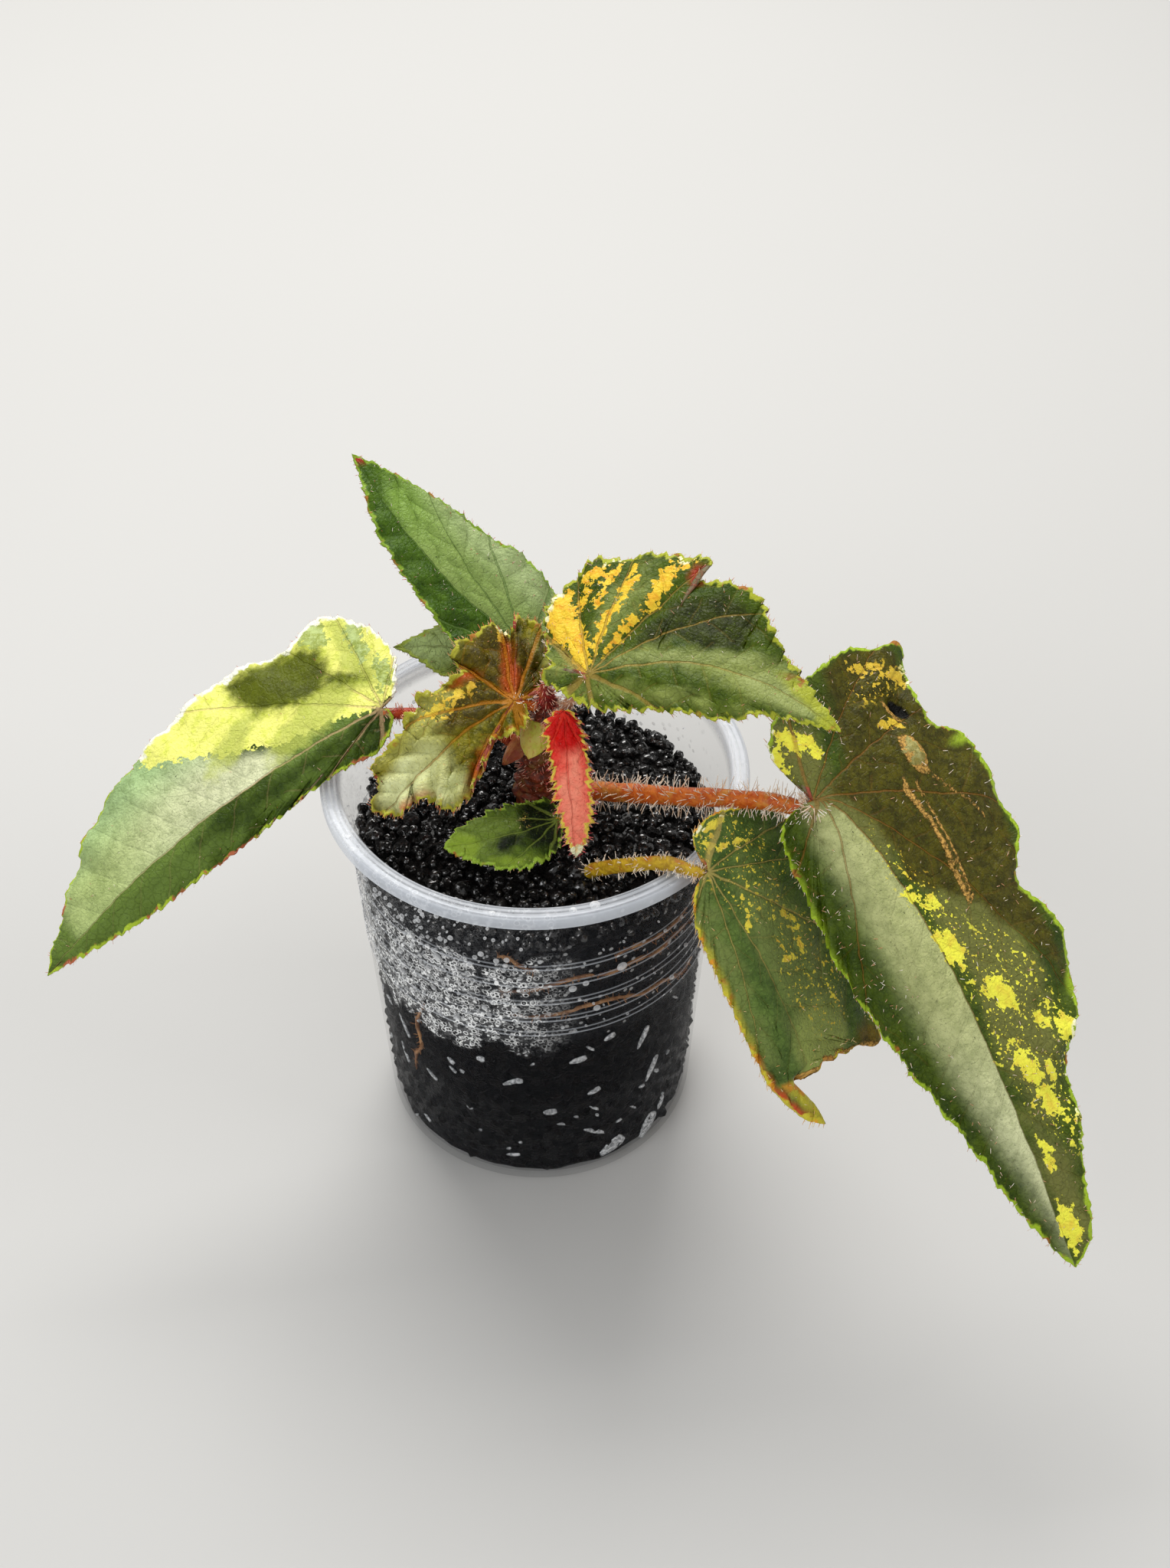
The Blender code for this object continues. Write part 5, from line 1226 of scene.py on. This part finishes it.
def makeStalks():
    made = {tint: stalkMaterial(tint) for tint in stalkTints}
    pale = hairMaterial("paleStalkHair", (0.86, 0.62, 0.42), (0.98, 0.94, 0.84))
    red = hairMaterial("redStalkHair", (0.55, 0.08, 0.05), (0.90, 0.62, 0.45))
    for name, (route, tint, count, length) in stalks.items():
        makeTube(name + "_stalk_detailed", route, 16, 12, 0.14, made[tint], [name + "_stalk"], len(name))
        tubeHairs(name + "_stalk_hairs", route, count, length, red if tint == "crimson" else pale, 0.75)
    makeTube("main_stem_detailed", stemRoute, 28, 14, 0.38, made["stem"], ["main_stem"], 3)
    tubeHairs("main_stem_hairs", stemRoute, 420, 1.9, red, 0.6, 0.42)
    makeTube("terminal_bud_detailed", budRoute, 18, 10, 0.3, made["bud"], ["terminal_bud"], 7)
    tubeHairs("terminal_bud_hairs", budRoute, 150, 1.7, red, 0.4)


# stipules and roots

stipules = {
    "front_stipule": ((0.6, -2.6, 110.2), -25, 150, (8.0, 6.4, -4.0)),
    "side_stipule": ((-2.2, 0.4, 104.8), -57, 142, (8.4, 5.0, -4.0)),
    "rear_stipule": ((5.2, 4.2, 104.0), 135, 155, (7.5, 5.2, -4.0)),
    "dried_scale": ((-30.2, 0.4, 107.9), 24, -104, (9.0, 3.4, 5.0)),
}


def stipuleMaterial(name, green, tan, rust):
    material, tree, shader = newMaterial(name, Roughness=0.42, Subsurface_Weight=0.15)
    place = objectPlace(tree)
    broad = cloud(tree, place, 3.0, 3.0)
    streak = cloud(tree, addNode(tree, "Mapping", {"Vector": place, "Scale": (2.4, 2.4, 0.5)}).outputs[0], 1.0, 3.0)
    colour = blendColour(tree, fade(tree, broad, 0.38, 0.6), green, tan)
    colour = blendColour(tree, fade(tree, streak, 0.52, 0.72, 0.0, 0.8), colour, rust)
    tree.links.new(colour, shader.inputs["Base Color"])
    tree.links.new(fade(tree, streak, 0.3, 0.7, 0.34, 0.6), shader.inputs["Roughness"])
    addBump(tree, shader, streak, 0.18)
    return material


def makeStipules():
    tints = {
        "front_stipule": stipuleMaterial("greenScale", (0.52, 0.50, 0.03), (0.64, 0.50, 0.07), (0.52, 0.20, 0.03)),
        "side_stipule": stipuleMaterial("redScale", (0.34, 0.04, 0.012), (0.42, 0.13, 0.02), (0.22, 0.012, 0.006)),
        "rear_stipule": stipuleMaterial("brownScale", (0.34, 0.16, 0.05), (0.40, 0.24, 0.08), (0.22, 0.05, 0.02)),
        "dried_scale": stipuleMaterial("driedScale", (0.20, 0.05, 0.012), (0.36, 0.16, 0.04), (0.08, 0.02, 0.01)),
    }
    for name, (place, turn, lean, (length, width, hollow)) in stipules.items():
        shape = bmesh.new()
        bmesh.ops.create_grid(shape, x_segments=16, y_segments=28, size=1.0)
        spin = Matrix.Rotation(math.radians(turn), 4, "Z") @ Matrix.Rotation(math.radians(lean), 4, "X")
        for vert in shape.verts:
            row = (vert.co.y + 1) / 2
            half = width / 2 * math.sin(math.pi * min(0.12 + 0.9 * row, 1.0))**0.7
            ragged = 1 + 0.08 * noise.noise(Vector((row * 9, vert.co.x * 2, length)))
            across = vert.co.x * half * ragged
            ripple = 0.25 * noise.noise(Vector((vert.co.x * 2.2, row * 5, width)))
            local = Vector((across, hollow * (across / width)**2 + ripple, length * row))
            vert.co = (spin @ local + Vector(place)) * mm
        bmesh.ops.remove_doubles(shape, verts=shape.verts, dist=0.00002)
        mesh = bpy.data.meshes.new(name)
        shape.to_mesh(mesh)
        shape.free()
        piece = finishPiece(name + "_detailed", mesh, [tints[name]], [name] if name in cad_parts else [])
        thickness = piece.modifiers.new("thickness", "SOLIDIFY")
        thickness.thickness = 0.3 * mm
        thickness.offset = 0.0


def rootMaterial():
    material, tree, shader = newMaterial("brownRoot", Specular_IOR_Level=0.4)
    place = objectPlace(tree)
    tone = cloud(tree, place, 3.0, 4.0, 0.6)
    fine = cloud(tree, place, 0.5, 2.0)
    colour = blendColour(tree, fade(tree, tone, 0.36, 0.62), (0.20, 0.07, 0.02), (0.52, 0.26, 0.10))
    tree.links.new(blendColour(tree, fade(tree, fine, 0.6, 0.72), colour, (0.62, 0.42, 0.24)), shader.inputs["Base Color"])
    tree.links.new(fade(tree, fine, 0.3, 0.7, 0.4, 0.7), shader.inputs["Roughness"])
    addBump(tree, shader, fine, 0.15)
    return material


# the roots run round against the wall, as (angle, height)
roots = {
    "upper": [(-28, 68.2), (-38, 69.6), (-47, 68.6), (-56, 69.8), (-65, 69.1), (-74, 70.4), (-82, 69.6), (-91, 67.4), (-101, 66.2)],
    "lower": [(-23, 53), (-30, 52.6), (-37, 54.6), (-44, 57), (-52, 57.2), (-62, 59.9), (-72, 60.6), (-81, 59.4), (-90, 58.6), (-98, 59.2)],
    "short": [(-101, 77.5), (-98, 77.6), (-94, 75.2), (-89, 73.6)],
    "left": [(-130, 53), (-134, 47), (-136, 43), (-135, 36), (-139, 31), (-141, 25)],
    "high": [(-33, 74.6), (-39, 73.6), (-48, 73.4), (-58, 74.8), (-64, 73.9)],
    "rear": [(40, 60), (52, 63), (66, 61), (84, 66), (96, 64), (112, 60)],
}


def makeRoots():
    brown = rootMaterial()
    for name, route in roots.items():
        path = []
        for angle, height in route:
            turn, radius = math.radians(angle), innerRadius(height) - 0.42
            path.append((radius * math.cos(turn), radius * math.sin(turn), height, 0.42 if 0 < len(path) < len(route) - 1 else 0.2))
        known = "wall_root_" + name
        makeTube(known + "_detailed", path, 8, 8, 0.5, brown, [known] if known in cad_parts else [], len(name))
        tubeHairs(known + "_rootlets", path, 9 * len(route), 1.3, brown, 0.9)


# floor, light and camera

def makeStage():
    shape = bmesh.new()
    bmesh.ops.create_grid(shape, x_segments=2, y_segments=2, size=3.0)
    mesh = bpy.data.meshes.new("floor")
    shape.to_mesh(mesh)
    shape.free()
    material, tree, shader = newMaterial("paleFloor", Roughness=0.6)
    place = addNode(tree, "TexCoord").outputs["Object"]
    tone = cloud(tree, place, 0.4, 2.0)
    tree.links.new(blendColour(tree, tone, (0.50, 0.50, 0.49), (0.54, 0.54, 0.53)), shader.inputs["Base Color"])
    mesh.materials.append(material)
    floor = bpy.data.objects.new("floor", mesh)
    bpy.context.scene.collection.objects.link(floor)

    def softbox(name, place, aim, width, height, power, colour):
        data = bpy.data.lights.new(name, "AREA")
        data.shape = "RECTANGLE"
        data.size, data.size_y = width, height
        data.energy = power
        data.color = colour
        lamp = bpy.data.objects.new(name, data)
        lamp.location = place
        lamp.rotation_euler = (Vector(aim) - Vector(place)).to_track_quat("-Z", "Y").to_euler()
        bpy.context.scene.collection.objects.link(lamp)

    softbox("windowLight", (-0.15, 0.75, 0.95), (0, 0, 0.09), 0.9, 0.6, 13, (1.0, 0.98, 0.95))
    softbox("frontFill", (-0.55, -0.75, 0.8), (0, 0, 0.09), 0.7, 0.7, 5, (0.97, 0.98, 1.0))
    softbox("sideFill", (0.95, -0.2, 0.7), (0, 0, 0.09), 0.6, 0.6, 3.5, (1.0, 0.98, 0.96))
    world = bpy.context.scene.world or bpy.data.worlds.new("World")
    bpy.context.scene.world = world
    world.use_nodes = True
    background = world.node_tree.nodes["Background"]
    background.inputs["Color"].default_value = (1.0, 0.99, 0.97, 1.0)
    background.inputs["Strength"].default_value = 0.45

    # 52 mm on a 36 mm frame height, 477 mm from the aim, looking 42.9 degrees down along +Y
    data = bpy.data.cameras.new("photoCamera")
    data.lens = 52.0
    data.sensor_width = 36.0
    data.clip_start = 0.01
    camera = bpy.data.objects.new("photoCamera", data)
    aim = Vector((10.5, 0, 90.5)) * mm
    tilt = math.radians(42.9)
    camera.location = aim + Vector((0, -math.cos(tilt), math.sin(tilt))) * 0.477
    camera.rotation_euler = (math.radians(90 - 42.9), 0, 0)
    bpy.context.scene.collection.objects.link(camera)
    bpy.context.scene.camera = camera
    bpy.context.scene.view_settings.view_transform = "Standard"


# everything together

makeStage()
makeCup()
print("cup done")
makeGranules()
print("granules done")
makeDrops()
makeRoots()
print("drops and roots done")
makeStalks()
makeStipules()
print("stem and stalks done")
leaves = {
    "right_leaf": (rightLeaf, "green_blade"), "lower_right_leaf": (lowerRightLeaf, "green_blade"), "left_leaf": (leftLeaf, "green_blade"),
    "rear_leaf": (rearLeaf, "green_blade"), "upper_right_leaf": (upperRightLeaf, "green_blade"), "crinkled_leaf": (crinkledLeaf, "crinkled_blade"),
    "small_rear_leaf": (smallRearLeaf, "green_blade"), "red_young_leaf": (redYoungLeaf, "red_blade"), "small_low_leaf": (smallLowLeaf, "green_blade"),
}
for name, (leaf, slot) in leaves.items():
    edges, length = makeBlade(name + "_blade", leaf)
    bladeHairs(name + "_blade", leaf, edges, length)
    print(name, "done")
